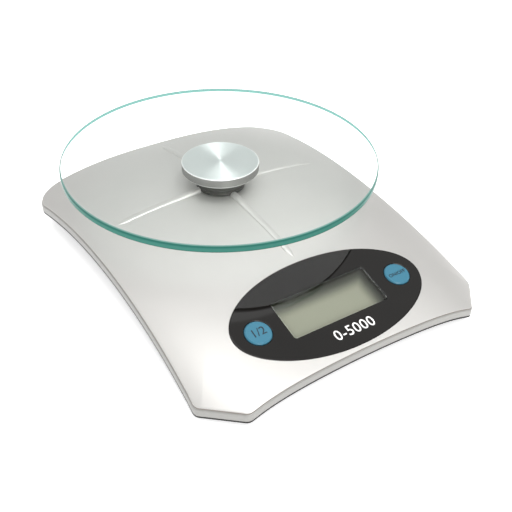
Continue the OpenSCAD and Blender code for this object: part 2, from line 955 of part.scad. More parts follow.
module load_cell_screws() {
    color("silver")
        at_hub()
            for (y = cell_screw_y)
                translate([0, y, 0])
                    difference() {
                        union() {
                            disc(cell_head_r, cell_head_z - cell_head_h, cell_head_z);
                            disc(cell_screw_r, cell_head_z - tiny, cell_z + cell_w - 2);
                        }
                        translate([0, 0, cell_head_z - cell_head_h - 1])
                            cylinder(h = 2.2, r = 1.7, $fn = 6);
                    }
}

// A point on the board's underside near its rear edge, measured from the hub's axis
function board_pad(x) =
    let (y = board_w / 2 - 2)
    let (z = -board_depth - board_t)
    [x, panel_y + y * cos(panel_tilt) - z * sin(panel_tilt),
        panel_z + y * sin(panel_tilt) + z * cos(panel_tilt) - 0.3];

module gauge_leads() {
    side = cell_w / 2;
    color("firebrick")
        at_hub()
            for (i = [0:3]) {
                pad = board_pad(side + 4 + 1.6 * i);
                z = cell_z + 2 + 2.4 * i;
                wire(smooth([[side + 2 * lead_r, cell_mid_y - 20, z],
                    [side + 2 + i, cell_mid_y - 24, z],
                    [pad.x, cell_mid_y - 34, z - i], [pad.x, pad.y + 8, pad.z - 3],
                    [pad.x, pad.y + 1.5, pad.z - 2.5], pad]), lead_r);
            }
}

module battery_leads() {
    z = bay_top + bay_wall + 1.2;
    low = floor_z + 1.4;
    color("darkred")
        at_hub()
            for (i = [0, 1]) {
                y = bay_y + battery_pitch * (i - 0.5);
                x = bay_l / 2 + 0.7;
                reach = x + 4 + 3 * i;
                pad = board_pad(24 + 2.5 * i);
                wire(smooth([[x, y, z], [x + 2 + i, y - 4, z + 0.4], [reach, y - 12, z - 4],
                    [reach + 4, 20, low], [reach + 4, -40, low], [reach, -68, low + 2],
                    [pad.x, pad.y + 2, pad.z - 3], pad]), 0.6);
            }
}

module battery_cells() {
    body_l = battery_l - nub_l;
    tip = bay_l / 2 - plate_t;
    color([0.15, 0.3, 0.5])
        at_hub()
            for (side = [-1, 1])
                translate([0, bay_y - side * battery_pitch / 2, battery_z])
                    mirror([side < 0 ? 1 : 0, 0, 0])
                        rotate([0, 90, 0]) {
                            disc(battery_d / 2, tip - battery_l, tip - nub_l + tiny);
                            disc(nub_r, tip - nub_l, tip);
                        }
}

module contact_springs() {
    tip = bay_l / 2 - plate_t;
    length = 2 * tip - battery_l;
    turns = 3.5;
    steps = 48;
    wire_r = 0.3;
    color("lightgray")
        at_hub()
            for (side = [-1, 1])
                translate([0, bay_y + side * battery_pitch / 2, battery_z])
                    mirror([side < 0 ? 1 : 0, 0, 0])
                        wire([for (i = [0:steps])
                            let (t = i / steps)
                            let (a = 360 * turns * t)
                            let (r = 3.6 - 1.2 * t)
                            [tip - wire_r - (length - 2 * wire_r) * t, r * cos(a), r * sin(a)]],
                            wire_r, [1, 0, 0]);
}

module contact_plates() {
    x = bay_l / 2;
    low = battery_z - 4.5;
    high = battery_z + 4.5;
    color("silver")
        at_hub() {
            block([-x, bay_y - battery_pitch / 2 - 4.5, low],
                [plate_t - x, bay_y + battery_pitch / 2 + 4.5, high]);
            for (y = [-battery_pitch / 2, battery_pitch / 2]) {
                block([x - plate_t, bay_y + y - 4.5, low], [x - 0.02, bay_y + y + 4.5, high]);
                block([x - plate_t, bay_y + y - 2, high - tiny],
                    [x - 0.02, bay_y + y + 2, bay_top + bay_wall + 2]);
            }
        }
}

module battery_door() {
    mid = foot_h + door_t / 2;
    grip_y = base_rear - 12;
    color([0.25, 0.25, 0.25])
        at_hub()
            difference() {
                union() {
                    block([-door_half_w, door_front, foot_h],
                        [door_half_w, base_rear, foot_h + door_t]);
                    block([-door_half_w - door_tongue + door_gap, door_front + 2, mid - 0.3],
                        [door_half_w + door_tongue - door_gap, base_rear - 6, mid + 0.3]);
                }
                for (i = [0:4])
                    block([-9, grip_y + 1.8 * i, 0], [9, grip_y + 1.8 * i + 0.8, foot_h + 0.4]);
            }
}

module rubber_feet() {
    r = foot_d / 2;
    top = foot_h + foot_seat;
    color([0.1, 0.1, 0.1])
        at_hub()
            at_feet()
                rotate_extrude()
                    polygon([[0, 0], [r - 1, 0], [r - 0.4, 0.6], [r - 0.1, top], [0, top]]);
}

module housing_screws() {
    color("silver")
        at_hub()
            at_posts()
                difference() {
                    union() {
                        disc(housing_head_r, housing_seat_z - housing_head_h, housing_seat_z);
                        disc(housing_screw_r, housing_seat_z - tiny, housing_screw_top);
                    }
                    for (turn = [0, 90])
                        rotate(turn)
                            block([-1.8, -0.4, 0], [1.8, 0.4, housing_seat_z - 1.2]);
                }
}

glass_plate();
hub_disc();
hub_spigot();
hub_screw();
hub_collar();
top_plate();
upper_housing();
panel_tray();
lower_housing();
display_panel();
window_lens();
lcd_glass();
lcd_frame();
zebra_strips();
main_board();
board_chips();
board_screws();
switch_bases();
unit_button();
unit_plunger();
power_button();
power_plunger();
load_cell();
strain_gauges();
load_cell_spacer();
load_cell_screws();
gauge_leads();
battery_leads();
battery_cells();
contact_springs();
contact_plates();
battery_door();
rubber_feet();
housing_screws();
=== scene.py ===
import bisect
import json
import math

import bmesh
import bpy
from mathutils import Matrix, Vector


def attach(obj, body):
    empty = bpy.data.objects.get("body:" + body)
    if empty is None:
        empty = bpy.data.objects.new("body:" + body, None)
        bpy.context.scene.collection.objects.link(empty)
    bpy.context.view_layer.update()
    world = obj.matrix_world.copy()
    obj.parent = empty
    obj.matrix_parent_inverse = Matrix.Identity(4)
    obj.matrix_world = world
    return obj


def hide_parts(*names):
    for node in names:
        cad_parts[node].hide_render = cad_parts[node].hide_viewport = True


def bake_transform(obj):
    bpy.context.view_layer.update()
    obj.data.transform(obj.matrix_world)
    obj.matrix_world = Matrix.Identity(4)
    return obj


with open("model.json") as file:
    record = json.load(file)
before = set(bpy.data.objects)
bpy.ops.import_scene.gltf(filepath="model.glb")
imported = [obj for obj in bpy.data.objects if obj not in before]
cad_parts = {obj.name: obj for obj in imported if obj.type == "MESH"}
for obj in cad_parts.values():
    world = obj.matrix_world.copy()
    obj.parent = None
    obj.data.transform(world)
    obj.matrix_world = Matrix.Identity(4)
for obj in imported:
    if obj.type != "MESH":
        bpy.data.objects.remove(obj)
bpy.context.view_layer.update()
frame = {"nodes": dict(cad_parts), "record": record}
nodes = frame["nodes"]
print("frame loaded:", len(nodes), "nodes")

# how near counts as touching, how far as well inside, and from where to where a cutter passes a thin piece
nearBy = 0.00001
wellInside = 0.001
through = (-0.01, 0.01)


# small helpers for working as by hand

def pick(*objects):
    if bpy.context.object and bpy.context.object.mode != "OBJECT":
        bpy.ops.object.mode_set(mode="OBJECT")
    bpy.ops.object.select_all(action="DESELECT")
    for obj in objects:
        obj.select_set(True)
    if objects:
        bpy.context.view_layer.objects.active = objects[0]


def named(name):
    obj = bpy.context.object
    obj.name = name
    obj.data.name = name
    return obj


def choose(obj, kind, test):
    # opens the piece in edit mode with only the faces or edges that pass the test selected
    pick(obj)
    bpy.ops.object.mode_set(mode="EDIT")
    bpy.ops.mesh.select_mode(type=kind)
    bpy.ops.mesh.select_all(action="DESELECT")
    mesh = bmesh.from_edit_mesh(obj.data)
    for part in {"FACE": mesh.faces, "EDGE": mesh.edges}[kind]:
        if test(part):
            part.select_set(True)
    mesh.select_flush_mode()
    bmesh.update_edit_mesh(obj.data)


def chooseAll(obj):
    pick(obj)
    bpy.ops.object.mode_set(mode="EDIT")
    bpy.ops.mesh.select_all(action="SELECT")


def done():
    bpy.ops.object.mode_set(mode="OBJECT")


def settle(obj):
    # puts the object's place into its mesh
    pick(obj)
    bpy.ops.object.transform_apply(location=True, rotation=True, scale=True)
    return obj


def joined(name, pieces):
    pick(*pieces)
    bpy.ops.object.join()
    return named(name)


def copied(obj):
    pick(obj)
    bpy.ops.object.duplicate()
    return bpy.context.object


def pushUp(height):
    # extrudes what is selected straight up, or down where the height is below zero
    bpy.ops.mesh.extrude_region_move(TRANSFORM_OT_translate={"value": (0, 0, height)})


def moveUp(obj, height):
    chooseAll(obj)
    bpy.ops.transform.translate(value=(0, 0, height))
    done()


def bevelEdges(width, segments=3):
    bpy.ops.mesh.bevel(offset=width, segments=segments, profile=0.5, affect="EDGES")
    done()


def pointOutwards():
    bpy.ops.mesh.select_all(action="SELECT")
    bpy.ops.mesh.normals_make_consistent(inside=False)
    done()


def tidyFaces(obj):
    chooseAll(obj)
    bpy.ops.mesh.remove_doubles(threshold=0.000002)
    pointOutwards()


def smoothBy(obj, degrees):
    pick(obj)
    bpy.ops.object.shade_smooth_by_angle(angle=math.radians(degrees))


def flatTop(obj, normal):
    # large flat faces keep their own normal beside the softened edges
    for face in obj.data.polygons:
        if face.normal.dot(normal) > 0.999:
            face.use_smooth = False


def cutAway(obj, cutter, how="DIFFERENCE"):
    pick(obj)
    modifier = obj.modifiers.new("cut", "BOOLEAN")
    modifier.object = cutter
    modifier.operation = how
    modifier.solver = "EXACT"
    bpy.ops.object.modifier_apply(modifier=modifier.name)
    bpy.data.objects.remove(cutter)


def sharpEdge(degrees, place=None):
    limit = math.radians(degrees)

    def test(edge):
        if len(edge.link_faces) != 2 or edge.calc_face_angle(0) < limit:
            return False
        return place is None or place((edge.verts[0].co + edge.verts[1].co) / 2)
    return test


# the body's plan and crown, as in the part's source, in metres from the hub's axis

bodyShape = {
    "hubY": 0.0237,
    "frontLength": 0.1324, "rearLength": 0.0796, "frontSag": 0.0029,
    "waistWidth": 0.1611, "waistY": -0.0329, "sideRadius": 1.570,
    "chamferLength": 0.0179, "chamferWidth": 0.0168, "chamferRound": 0.0024,
    "rearRadius": 0.602, "cornerRadius": 0.0203,
    "crownTop": 0.0351, "crownY": -0.0036, "frontCrown": 0.388, "rearCrown": 0.315,
    "sideDrop": 0.0107, "sideDropMore": 0.0018, "sidePower": 2.75, "sidePowerMore": 2.2,
    "halfWidth": 0.084, "halfLength": 0.115,
    "frontSteps": 14, "sideSteps": 34, "cornerSteps": 16, "rearSteps": 14,
}


def crownZ(x, y):
    s = bodyShape
    radius = s["frontCrown"] if y < s["crownY"] else s["rearCrown"]
    share = (min(y, 0) / s["halfLength"]) ** 2
    fall = s["sideDrop"] + s["sideDropMore"] * share
    power = s["sidePower"] + s["sidePowerMore"] * share
    return s["crownTop"] - (y - s["crownY"]) ** 2 / (2 * radius) - fall * (abs(x) / s["halfWidth"]) ** power


def bend(corner, first, second, count=7):
    # a rounded corner between the unit directions of its two sides
    reach = bodyShape["chamferRound"]
    steps = [i / count for i in range(count + 1)]
    return [corner + reach * ((1 - t) ** 2 * first + t * t * second) for t in steps]


def halfOutline(inset):
    s = bodyShape

    def sideX(y):
        return s["waistWidth"] / 2 + (y - s["waistY"]) ** 2 / (2 * s["sideRadius"])

    def rearY(x):
        return s["rearLength"] - x * x / (2 * s["rearRadius"])

    turn = math.atan2(s["chamferWidth"], s["chamferLength"])
    sideY = s["chamferLength"] - s["frontLength"]
    frontX = sideX(sideY) - s["chamferWidth"]
    low = Vector((frontX - inset * math.tan((math.pi / 2 - turn) / 2), inset - s["frontLength"]))
    high = Vector((sideX(sideY) - inset, sideY + inset * math.tan(turn / 2)))
    slope = Vector((-frontX, 2 * s["frontSag"])).normalized()
    up = (high - low).normalized()
    straight = high.y + s["chamferRound"]
    corner = s["cornerRadius"]
    start = math.atan2(s["waistY"] - s["rearLength"] + corner, s["sideRadius"])
    stop = math.pi / 2 - math.asin((s["waistWidth"] / 2 - corner) / s["rearRadius"])
    roughY = rearY(s["waistWidth"] / 2 - corner) - corner * math.sin(stop)
    midX = sideX(roughY) - corner * math.cos(start)
    midY = rearY(midX + corner * math.cos(stop)) - corner * math.sin(stop)
    radius = corner - inset
    endY = midY + radius * math.sin(start)
    endX = midX + radius * math.cos(stop)
    frontEnd = low.x + s["chamferRound"] * slope.x
    points = []
    for i in range(s["frontSteps"]):
        x = frontEnd * i / s["frontSteps"]
        points.append(Vector((x, s["frontSag"] * (1 - (x / frontX) ** 2) - s["frontLength"] + inset)))
    points += bend(low, slope, up) + bend(high, -up, Vector((0, 1)))
    for i in range(1, s["sideSteps"] + 1):
        y = straight + (endY - straight) * i / s["sideSteps"]
        points.append(Vector((sideX(y) - inset, y)))
    for i in range(1, s["cornerSteps"] + 1):
        a = start + (stop - start) * i / s["cornerSteps"]
        points.append(Vector((midX + radius * math.cos(a), midY + radius * math.sin(a))))
    for i in range(1, s["rearSteps"] + 1):
        x = endX * (1 - i / s["rearSteps"])
        points.append(Vector((x, rearY(x) - inset)))
    return points


def bodyOutline(inset):
    half = halfOutline(inset)
    return half + [Vector((-p.x, p.y)) for p in reversed(half[1:-1])]


def hubRing(radius):
    # points round the hub, each in the direction of its point of the outline
    return [p.normalized() * radius for p in bodyOutline(0)]


def reachOf(loop):
    # how far a loop reaches from the hub, in any direction
    polar = sorted((math.atan2(p.y, p.x), p.length) for p in loop)
    angles = [a for a, _ in polar]

    def reach(x, y):
        a = math.atan2(y, x)
        i = bisect.bisect(angles, a)
        (a0, r0), (a1, r1) = polar[i - 1], polar[i % len(polar)]
        gap = (a1 - a0) % (2 * math.pi)
        return r0 + (r1 - r0) * (((a - a0) % (2 * math.pi)) / gap if gap else 0)
    return reach


def loopObject(name, points, z=0):
    pick()
    bpy.ops.mesh.primitive_circle_add(vertices=len(points), radius=0.1, fill_type="NOTHING")
    obj = named(name)
    for vertex, p in zip(obj.data.vertices, points):
        vertex.co = (p.x, p.y, z)
    return obj


def sheetBetween(name, loops, cuts):
    # a flat sheet with a hole: each loop is bridged to the next one
    strips = []
    for outer, inner, count in zip(loops, loops[1:], cuts):
        strip = joined(name, [loopObject("outer", outer), loopObject("inner", inner)])
        chooseAll(strip)
        bpy.ops.mesh.bridge_edge_loops(number_cuts=count, interpolation="LINEAR")
        done()
        strips.append(strip)
    sheet = joined(name, strips) if len(strips) > 1 else strips[0]
    tidyFaces(sheet)
    return sheet


def thicken(obj, depth):
    chooseAll(obj)
    pushUp(-depth)
    pointOutwards()


def layOnCrown(obj):
    # the flat piece's heights become heights over the crown, and it moves to the hub's place
    for vertex in obj.data.vertices:
        x, y, z = vertex.co
        vertex.co = (x, y + bodyShape["hubY"], z + crownZ(x, y))
    obj.data.update()


# the display panel's own frame

panelPlace = {"front": 0.1006, "tilt": 14.14, "sink": 0.0009, "length": 0.1082, "width": 0.0547}
panelTurn = Matrix.Rotation(math.radians(panelPlace["tilt"]), 4, "X")
panelSpot = Vector((0, bodyShape["hubY"] - panelPlace["front"],
                    crownZ(0, -panelPlace["front"]) - panelPlace["sink"]))
onPanel = Matrix.Translation(panelSpot) @ panelTurn


def turnsOf(count):
    return [2 * math.pi * i / count for i in range(count)]


def panelHole(gap, count=144):
    # the oval hole's edge in plan, where the oval prism of the panel meets the crown
    p = panelPlace
    tilt = math.radians(p["tilt"])
    z0 = crownZ(0, -p["front"]) - p["sink"]
    points = []
    for a in turnsOf(count):
        x = (p["length"] / 2 + gap) * math.cos(a)
        across = (p["width"] / 2 + gap) * math.sin(a)
        y = -p["front"] + across * math.cos(tilt)
        for _ in range(6):
            y = -p["front"] + (across - (crownZ(x, y) - z0) * math.sin(tilt)) / math.cos(tilt)
        points.append(Vector((x, y)))
    return points


def ovalLoop(gap, count=72):
    # the panel's oval in its own plane
    halfLength, halfWidth = panelPlace["length"] / 2 + gap, panelPlace["width"] / 2 + gap
    return [Vector((halfLength * math.cos(a), halfWidth * math.sin(a))) for a in turnsOf(count)]


def ringLoop(x, y, radius, count=48):
    return [Vector((x + radius * math.cos(a), y + radius * math.sin(a))) for a in turnsOf(count)]


def boxLoop(x0, x1, y0, y1):
    return [Vector((x0, y0)), Vector((x1, y0)), Vector((x1, y1)), Vector((x0, y1))]


def roundedLoop(length, width, corner, count=8):
    points = []
    for i, (sx, sy) in enumerate(((1, 1), (-1, 1), (-1, -1), (1, -1))):
        middle = Vector((sx * (length / 2 - corner), sy * (width / 2 - corner)))
        for k in range(count + 1):
            a = math.pi / 2 * (i + k / count)
            points.append(middle + corner * Vector((math.cos(a), math.sin(a))))
    return points


def prism(points, low, high):
    obj = loopObject("cutter", points, low)
    chooseAll(obj)
    bpy.ops.mesh.edge_face_add()
    pushUp(high - low)
    pointOutwards()
    return obj


# cover plate: one crowned skin with an oval hole and a hole for the hub's collar

coverPlate = {"step": 0.0004, "thickness": 0.0008, "edge": 0.0003, "border": 0.0012, "hubHole": 0.0126,
              "gap": 0.0002, "rows": 56, "rimFrom": 0.02}


def makeCoverPlate():
    c = coverPlate
    loops = [bodyOutline(c["step"]), bodyOutline(c["step"] + c["border"]), hubRing(c["hubHole"])]
    plate = sheetBetween("coverPlate", loops, [1, c["rows"]])
    thicken(plate, c["thickness"])
    choose(plate, "EDGE", sharpEdge(60, lambda p: p.z > -c["thickness"] / 2 and p.length > 2 * c["hubHole"]))
    bevelEdges(c["edge"])
    cutAway(plate, prism(panelHole(c["gap"]), *through))
    layOnCrown(plate)
    smoothBy(plate, 40)
    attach(plate, "scale_base")
    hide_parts("top_plate")
    return plate


coverRibs = {"start": 0.0135, "width": 0.0044, "tipWidth": 0.0034, "sunk": 0.0004, "rows": 64, "columns": 16,
             "hubHeight": 0.0022, "height": 0.0010, "sideHeight": 0.0006, "fall": 0.3,
             "front": 0.0700, "side": 0.0630, "rear": 0.0700, "point": 0.10, "ease": 0.16,
             "widthPower": 1.5, "heightPower": 1.6, "sectionPower": 2.2}


def makeRib(direction, reach, rise):
    # share runs along the rib from the hub, side from one edge of it to the other
    r = coverRibs
    length = reach - r["start"]
    pick()
    bpy.ops.mesh.primitive_grid_add(x_subdivisions=r["rows"], y_subdivisions=r["columns"], size=1)
    rib = named("rib")
    turn = Matrix.Rotation(direction, 2)
    for vertex in rib.data.vertices:
        share, side = vertex.co.x + 0.5, vertex.co.y * 2
        side = math.sin(side * math.pi / 2)
        point = max(0.0, (share - 1 + r["point"]) / r["point"])
        width = (r["width"] + (r["tipWidth"] - r["width"]) * share) * (1 - point ** r["widthPower"])
        ease = math.exp(-(share / r["ease"]) ** 1.5)
        height = rise * (1 - r["fall"] * share) + (r["hubHeight"] - rise) * ease
        height *= 1 - point ** r["heightPower"]
        p = turn @ Vector((r["start"] + share * length, side * width / 2))
        vertex.co = (p.x, p.y, height * math.sqrt(max(0.0, 1 - abs(side) ** r["sectionPower"])))
    chooseAll(rib)
    pushUp(-r["sunk"])
    done()
    tidyFaces(rib)
    layOnCrown(rib)
    return rib


def makeRibs():
    r = coverRibs
    ribs = joined("coverRibs", [
        makeRib(0, r["side"], r["sideHeight"]), makeRib(math.pi, r["side"], r["sideHeight"]),
        makeRib(math.pi / 2, r["rear"], r["height"]), makeRib(-math.pi / 2, r["front"], r["height"])])
    smoothBy(ribs, 60)
    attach(ribs, "scale_base")
    return ribs


# band shell: the plastic housing under the cover, whose wall shows as a band all round

bandShell = {"top": 0.00085, "roof": 0.0020, "wall": 0.0022, "depth": 0.0048, "edge": 0.0005,
             "hubHole": 0.0110, "trayGap": 0.0017, "trayCut": (-0.02, 0.01), "rows": 50}


def makeBandShell():
    b = bandShell
    wallLine = bodyOutline(b["wall"])
    shell = sheetBetween("bandShell", [bodyOutline(0), wallLine, hubRing(b["hubHole"])], [1, b["rows"]])
    thicken(shell, b["roof"])
    reach = reachOf(wallLine)
    choose(shell, "FACE", lambda f: f.normal.z < -0.9
           and f.calc_center_median().xy.length > reach(*f.calc_center_median().xy))
    pushUp(-(b["depth"] - b["top"] - b["roof"]))
    done()
    choose(shell, "EDGE", sharpEdge(60, lambda p: p.xy.length > reach(p.x, p.y) + b["wall"] / 3))
    bevelEdges(b["edge"])
    moveUp(shell, -b["top"])
    cutAway(shell, prism(panelHole(b["trayGap"]), *b["trayCut"]))
    layOnCrown(shell)
    smoothBy(shell, 40)
    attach(shell, "scale_base")
    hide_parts("upper_housing")
    return shell


# base shell: a flat tub with a thin wing that follows the crown under the band

# a place is x and y, a hole or a post is its radius and top, a box is half its width, its front, rear and top
baseShell = {"width": 0.112, "length": 0.186, "middle": -0.027, "corner": 0.012, "wall": 0.002,
             "low": 0.0015, "floor": 0.0035, "floorInset": 0.001, "edge": 0.0008, "pull": 0.02,
             "overlap": 0.0006, "step": 0.0001, "tongueStep": 0.00235, "tongueTop": 0.0032,
             "wingTop": 0.0048, "wingBottom": 0.0056, "wingInset": 0.001, "rows": 14,
             "trayGap": 0.0018, "trayDepth": 0.0036, "sunk": 0.0002,
             "bay": (0.0254, 0.0375, 0.0625, 0.0152), "bayWall": 0.0016,
             "cellSeat": (0.00835, -0.074, -0.050, 0.006), "hubStop": (0.005, 0.0056), "post": (0.004, 0.008),
             "door": (0.02585, 0.0359, 0.1, 0.00345),
             "track": (0.02685, 0.0379, 0.1, 0.0028), "trackLow": 0.0020,
             "posts": [(x, y) for x in (-0.050, 0.050) for y in (-0.068, -0.020, 0.027)],
             "postHoles": [(0.0031, 0.005), (0.00165, 0.01)],
             "cellScrews": [(0, -0.068), (0, -0.056)], "cellScrewHoles": [(0.0041, 0.0044), (0.00215, 0.01)],
             "feet": [(x, y) for x in (-0.046, 0.046) for y in (-0.109, 0.055)],
             "footHoles": [(0.00705, 0.0025)]}


def baseLoop(inset, spacing=0.006):
    # the tub's outline with points along its straight sides too
    b = baseShell
    corners = roundedLoop(b["width"] - 2 * inset, b["length"] - 2 * inset, b["corner"] - inset)
    points = []
    for here, there in zip(corners, corners[1:] + corners[:1]):
        count = max(1, round((there - here).length / spacing))
        points += [here.lerp(there, i / count) + Vector((0, b["middle"])) for i in range(count)]
    return points


def makeTub():
    b = baseShell
    middle = Vector((0, b["middle"]))
    outer = baseLoop(0)
    inner = [p + (middle - p).normalized() * b["wall"] for p in outer]
    tub = joined("tub", [loopObject("outer", outer, b["low"]), loopObject("inner", inner, b["low"])])
    chooseAll(tub)
    bpy.ops.mesh.bridge_edge_loops()
    bpy.ops.mesh.select_all(action="SELECT")
    pushUp(b["pull"])
    done()
    for vertex in tub.data.vertices:
        if vertex.co.z > b["pull"] / 2:
            vertex.co.z = crownZ(vertex.co.x, vertex.co.y) - b["wingBottom"] + b["overlap"]
    tidyFaces(tub)
    cutAway(tub, prism(baseLoop(b["floorInset"]), b["low"], b["floor"]), "UNION")
    choose(tub, "EDGE", sharpEdge(60, lambda spot: abs(spot.z - b["low"]) < nearBy))
    bevelEdges(b["edge"])
    return tub


def fitOut(tub):
    # the bay, the posts, the seats and the wells in the tub's floor
    b = baseShell

    def build(loop, top):
        cutAway(tub, prism(loop, b["floor"] - b["sunk"], top), "UNION")

    def boxOf(name, wall=0.0):
        half, front, rear, _ = b[name]
        return boxLoop(-half - wall, half + wall, front - wall, rear + wall)

    build(boxOf("bay", b["bayWall"]), b["bay"][-1] + b["bayWall"])
    build(boxOf("cellSeat"), b["cellSeat"][-1])
    build(ringLoop(0, 0, b["hubStop"][0]), b["hubStop"][1])
    for x, y in b["posts"]:
        build(ringLoop(x, y, b["post"][0]), b["post"][1])
    for name, low in (("door", 0), ("track", b["trackLow"]), ("bay", 0)):
        cutAway(tub, prism(boxOf(name), low, b[name][-1]))
    for places, holes in (("posts", "postHoles"), ("cellScrews", "cellScrewHoles"), ("feet", "footHoles")):
        for x, y in b[places]:
            for radius, top in b[holes]:
                cutAway(tub, prism(ringLoop(x, y, radius), 0, top))


def makeBaseShell():
    b = baseShell
    reach = reachOf(baseLoop(b["wingInset"], 0.001))
    ring = [p.normalized() * reach(p.x, p.y) for p in bodyOutline(0)]
    tongueLine = bodyOutline(b["tongueStep"])
    wing = sheetBetween("wing", [bodyOutline(b["step"]), tongueLine, ring], [1, b["rows"]])
    thicken(wing, b["wingBottom"] - b["wingTop"])
    inside = reachOf(tongueLine)
    choose(wing, "FACE", lambda f: f.normal.z > 0.9
           and f.calc_center_median().xy.length < inside(*f.calc_center_median().xy))
    pushUp(b["wingTop"] - b["tongueTop"])
    moveUp(wing, -b["wingTop"])
    tub = makeTub()
    fitOut(tub)
    tub.location = (0, bodyShape["hubY"], 0)
    settle(tub)
    layOnCrown(wing)
    tidyFaces(wing)
    oval = prism(ovalLoop(b["trayGap"]), -b["trayDepth"], 0.01)
    oval.matrix_world = onPanel
    settle(oval)
    second = copied(oval)
    cutAway(tub, oval)
    cutAway(wing, second)
    shell = joined("baseShell", [wing, tub])
    smoothBy(shell, 35)
    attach(shell, "scale_base")
    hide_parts("lower_housing")
    return shell


# the hub: a turned disc under the glass, and a ringed collar round its post

hubDisc = {"radius": 0.021, "top": 0.050, "thickness": 0.005, "edge": 0.0004, "bore": 0.0025, "cap": 0.0012,
           "sides": 160}


def makeHubDisc():
    d = hubDisc
    pick()
    bpy.ops.mesh.primitive_cylinder_add(vertices=d["sides"], radius=d["radius"], depth=d["thickness"],
                                        location=(0, 0, d["top"] - d["thickness"] / 2))
    disc = settle(named("hubDisc"))
    cutAway(disc, prism(ringLoop(0, 0, d["bore"]), d["top"] - d["thickness"] - 0.001, d["top"] - d["cap"]))
    choose(disc, "EDGE", sharpEdge(60, lambda spot: spot.xy.length > d["radius"] - wellInside))
    bevelEdges(d["edge"])
    disc.location = (0, bodyShape["hubY"], 0)
    settle(disc)
    smoothBy(disc, 40)
    flatTop(disc, Vector((0, 0, 1)))
    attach(disc, "platter")
    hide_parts("hub_disc")
    return disc


# radius and height in mm, round the collar's section
collarRing = {"sides": 96, "section": (
    (9.8, 31.85), (10.9, 31.85), (10.9, 34.35), (12.3, 34.35), (12.3, 35.3),
    (13.1, 35.3), (13.4, 35.6), (13.4, 37.6), (13.1, 37.8), (12.9, 38.1),
    (12.9, 38.5), (13.1, 38.75), (13.4, 38.9), (13.4, 40.9), (13.1, 41.2),
    (12.7, 41.3), (12.5, 41.1), (11.5, 41.1), (11.3, 41.3), (10.1, 41.3),
    (9.8, 41.0))}


def makeCollar():
    section = collarRing["section"]
    pick()
    bpy.ops.mesh.primitive_circle_add(vertices=len(section), radius=0.01, fill_type="NOTHING")
    ring = named("hubCollar")
    for vertex, (r, z) in zip(ring.data.vertices, section):
        vertex.co = (r / 1000, 0, z / 1000)
    chooseAll(ring)
    bpy.ops.mesh.spin(steps=collarRing["sides"], angle=2 * math.pi, center=(0, 0, 0), axis=(0, 0, 1))
    done()
    tidyFaces(ring)
    ring.location = (0, bodyShape["hubY"], 0)
    settle(ring)
    smoothBy(ring, 35)
    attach(ring, "scale_base")
    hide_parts("hub_collar")
    return ring


# glass platter with a ground, rounded edge

glassPlate = {"radius": 0.085, "top": 0.054, "thickness": 0.004, "edge": 0.0008, "sides": 256}


def makeGlass():
    g = glassPlate
    pick()
    bpy.ops.mesh.primitive_cylinder_add(
        vertices=g["sides"], radius=g["radius"], depth=g["thickness"],
        location=(0, bodyShape["hubY"], g["top"] - g["thickness"] / 2))
    plate = settle(named("glassPlate"))
    choose(plate, "EDGE", sharpEdge(60))
    bevelEdges(g["edge"], 4)
    choose(plate, "FACE", lambda f: abs(f.normal.z) > 0.99)
    bpy.ops.mesh.inset(thickness=g["edge"])
    done()
    smoothBy(plate, 40)
    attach(plate, "platter")
    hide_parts("glass_plate")
    return plate


# gloss panel with softened edges round its window and its two round holes

panelFace = {"thickness": 0.0022, "windowLength": 0.0554, "windowWidth": 0.0222, "windowCorner": 0.0014,
             "rebate": 0.0012, "flange": 0.0008, "buttonX": 0.0415, "buttonY": -0.0008, "holeRadius": 0.00685,
             "edge": 0.00022, "sides": 160, "lensGap": 0.00005, "lensLap": 0.0001}


def windowLoop(reach):
    f = panelFace
    return roundedLoop(f["windowLength"] + 2 * reach, f["windowWidth"] + 2 * reach, f["windowCorner"] + reach)


def makePanelFace():
    f, p = panelFace, panelPlace
    pick()
    bpy.ops.mesh.primitive_cylinder_add(
        vertices=f["sides"], radius=0.5, depth=f["thickness"],
        location=(0, 0, -f["thickness"] / 2), scale=(p["length"], p["width"], 1))
    face = settle(named("panelFace"))
    cutAway(face, prism(windowLoop(0), *through))
    cutAway(face, prism(windowLoop(f["rebate"]), through[0], f["flange"] - f["thickness"]))
    for side in (-1, 1):
        cutAway(face, prism(ringLoop(side * f["buttonX"], f["buttonY"], f["holeRadius"]), *through))
    choose(face, "EDGE", sharpEdge(60, lambda spot: abs(spot.z) < nearBy))
    bevelEdges(f["edge"])
    face.matrix_world = onPanel
    settle(face)
    smoothBy(face, 40)
    flatTop(face, panelTurn.to_3x3() @ Vector((0, 0, 1)))
    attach(face, "scale_base")
    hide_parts("display_panel")
    return face


def makeWindowLens():
    f = panelFace
    gap, flange = f["lensGap"], f["flange"] - f["thickness"]
    lens = prism(windowLoop(-gap), flange - f["lensLap"], 0)
    choose(lens, "EDGE", sharpEdge(60, lambda spot: abs(spot.z) < nearBy))
    bevelEdges(f["edge"], 2)
    cutAway(lens, prism(windowLoop(f["rebate"] - gap), -f["thickness"], flange), "UNION")
    lens.name = "windowLens"
    lens.data.name = "windowLens"
    lens.matrix_world = onPanel
    settle(lens)
    smoothBy(lens, 40)
    flatTop(lens, panelTurn.to_3x3() @ Vector((0, 0, 1)))
    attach(lens, "scale_base")
    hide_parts("window_lens")
    return lens


# load cell: a bar with a double bore between the base and the platter, built unbent

loadCell = {"width": 0.0127, "front": -0.073, "rear": 0.007, "low": 0.0095, "edge": 0.0003, "cuts": 19,
            "bore": 0.0044, "bores": (-0.040, -0.026), "slot": 0.0015, "screw": 0.0020,
            "screws": (-0.068, -0.056), "hub": 0.0026, "bend": (-0.046, -0.020)}
strainGauges = {"length": 0.005, "width": 0.006, "thickness": 0.0005, "edge": 0.0001}


def bendOverBores(obj):
    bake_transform(obj)


def blockAt(name, place, size):
    pick()
    bpy.ops.mesh.primitive_cube_add(size=1, location=place, scale=size)
    return settle(named(name))


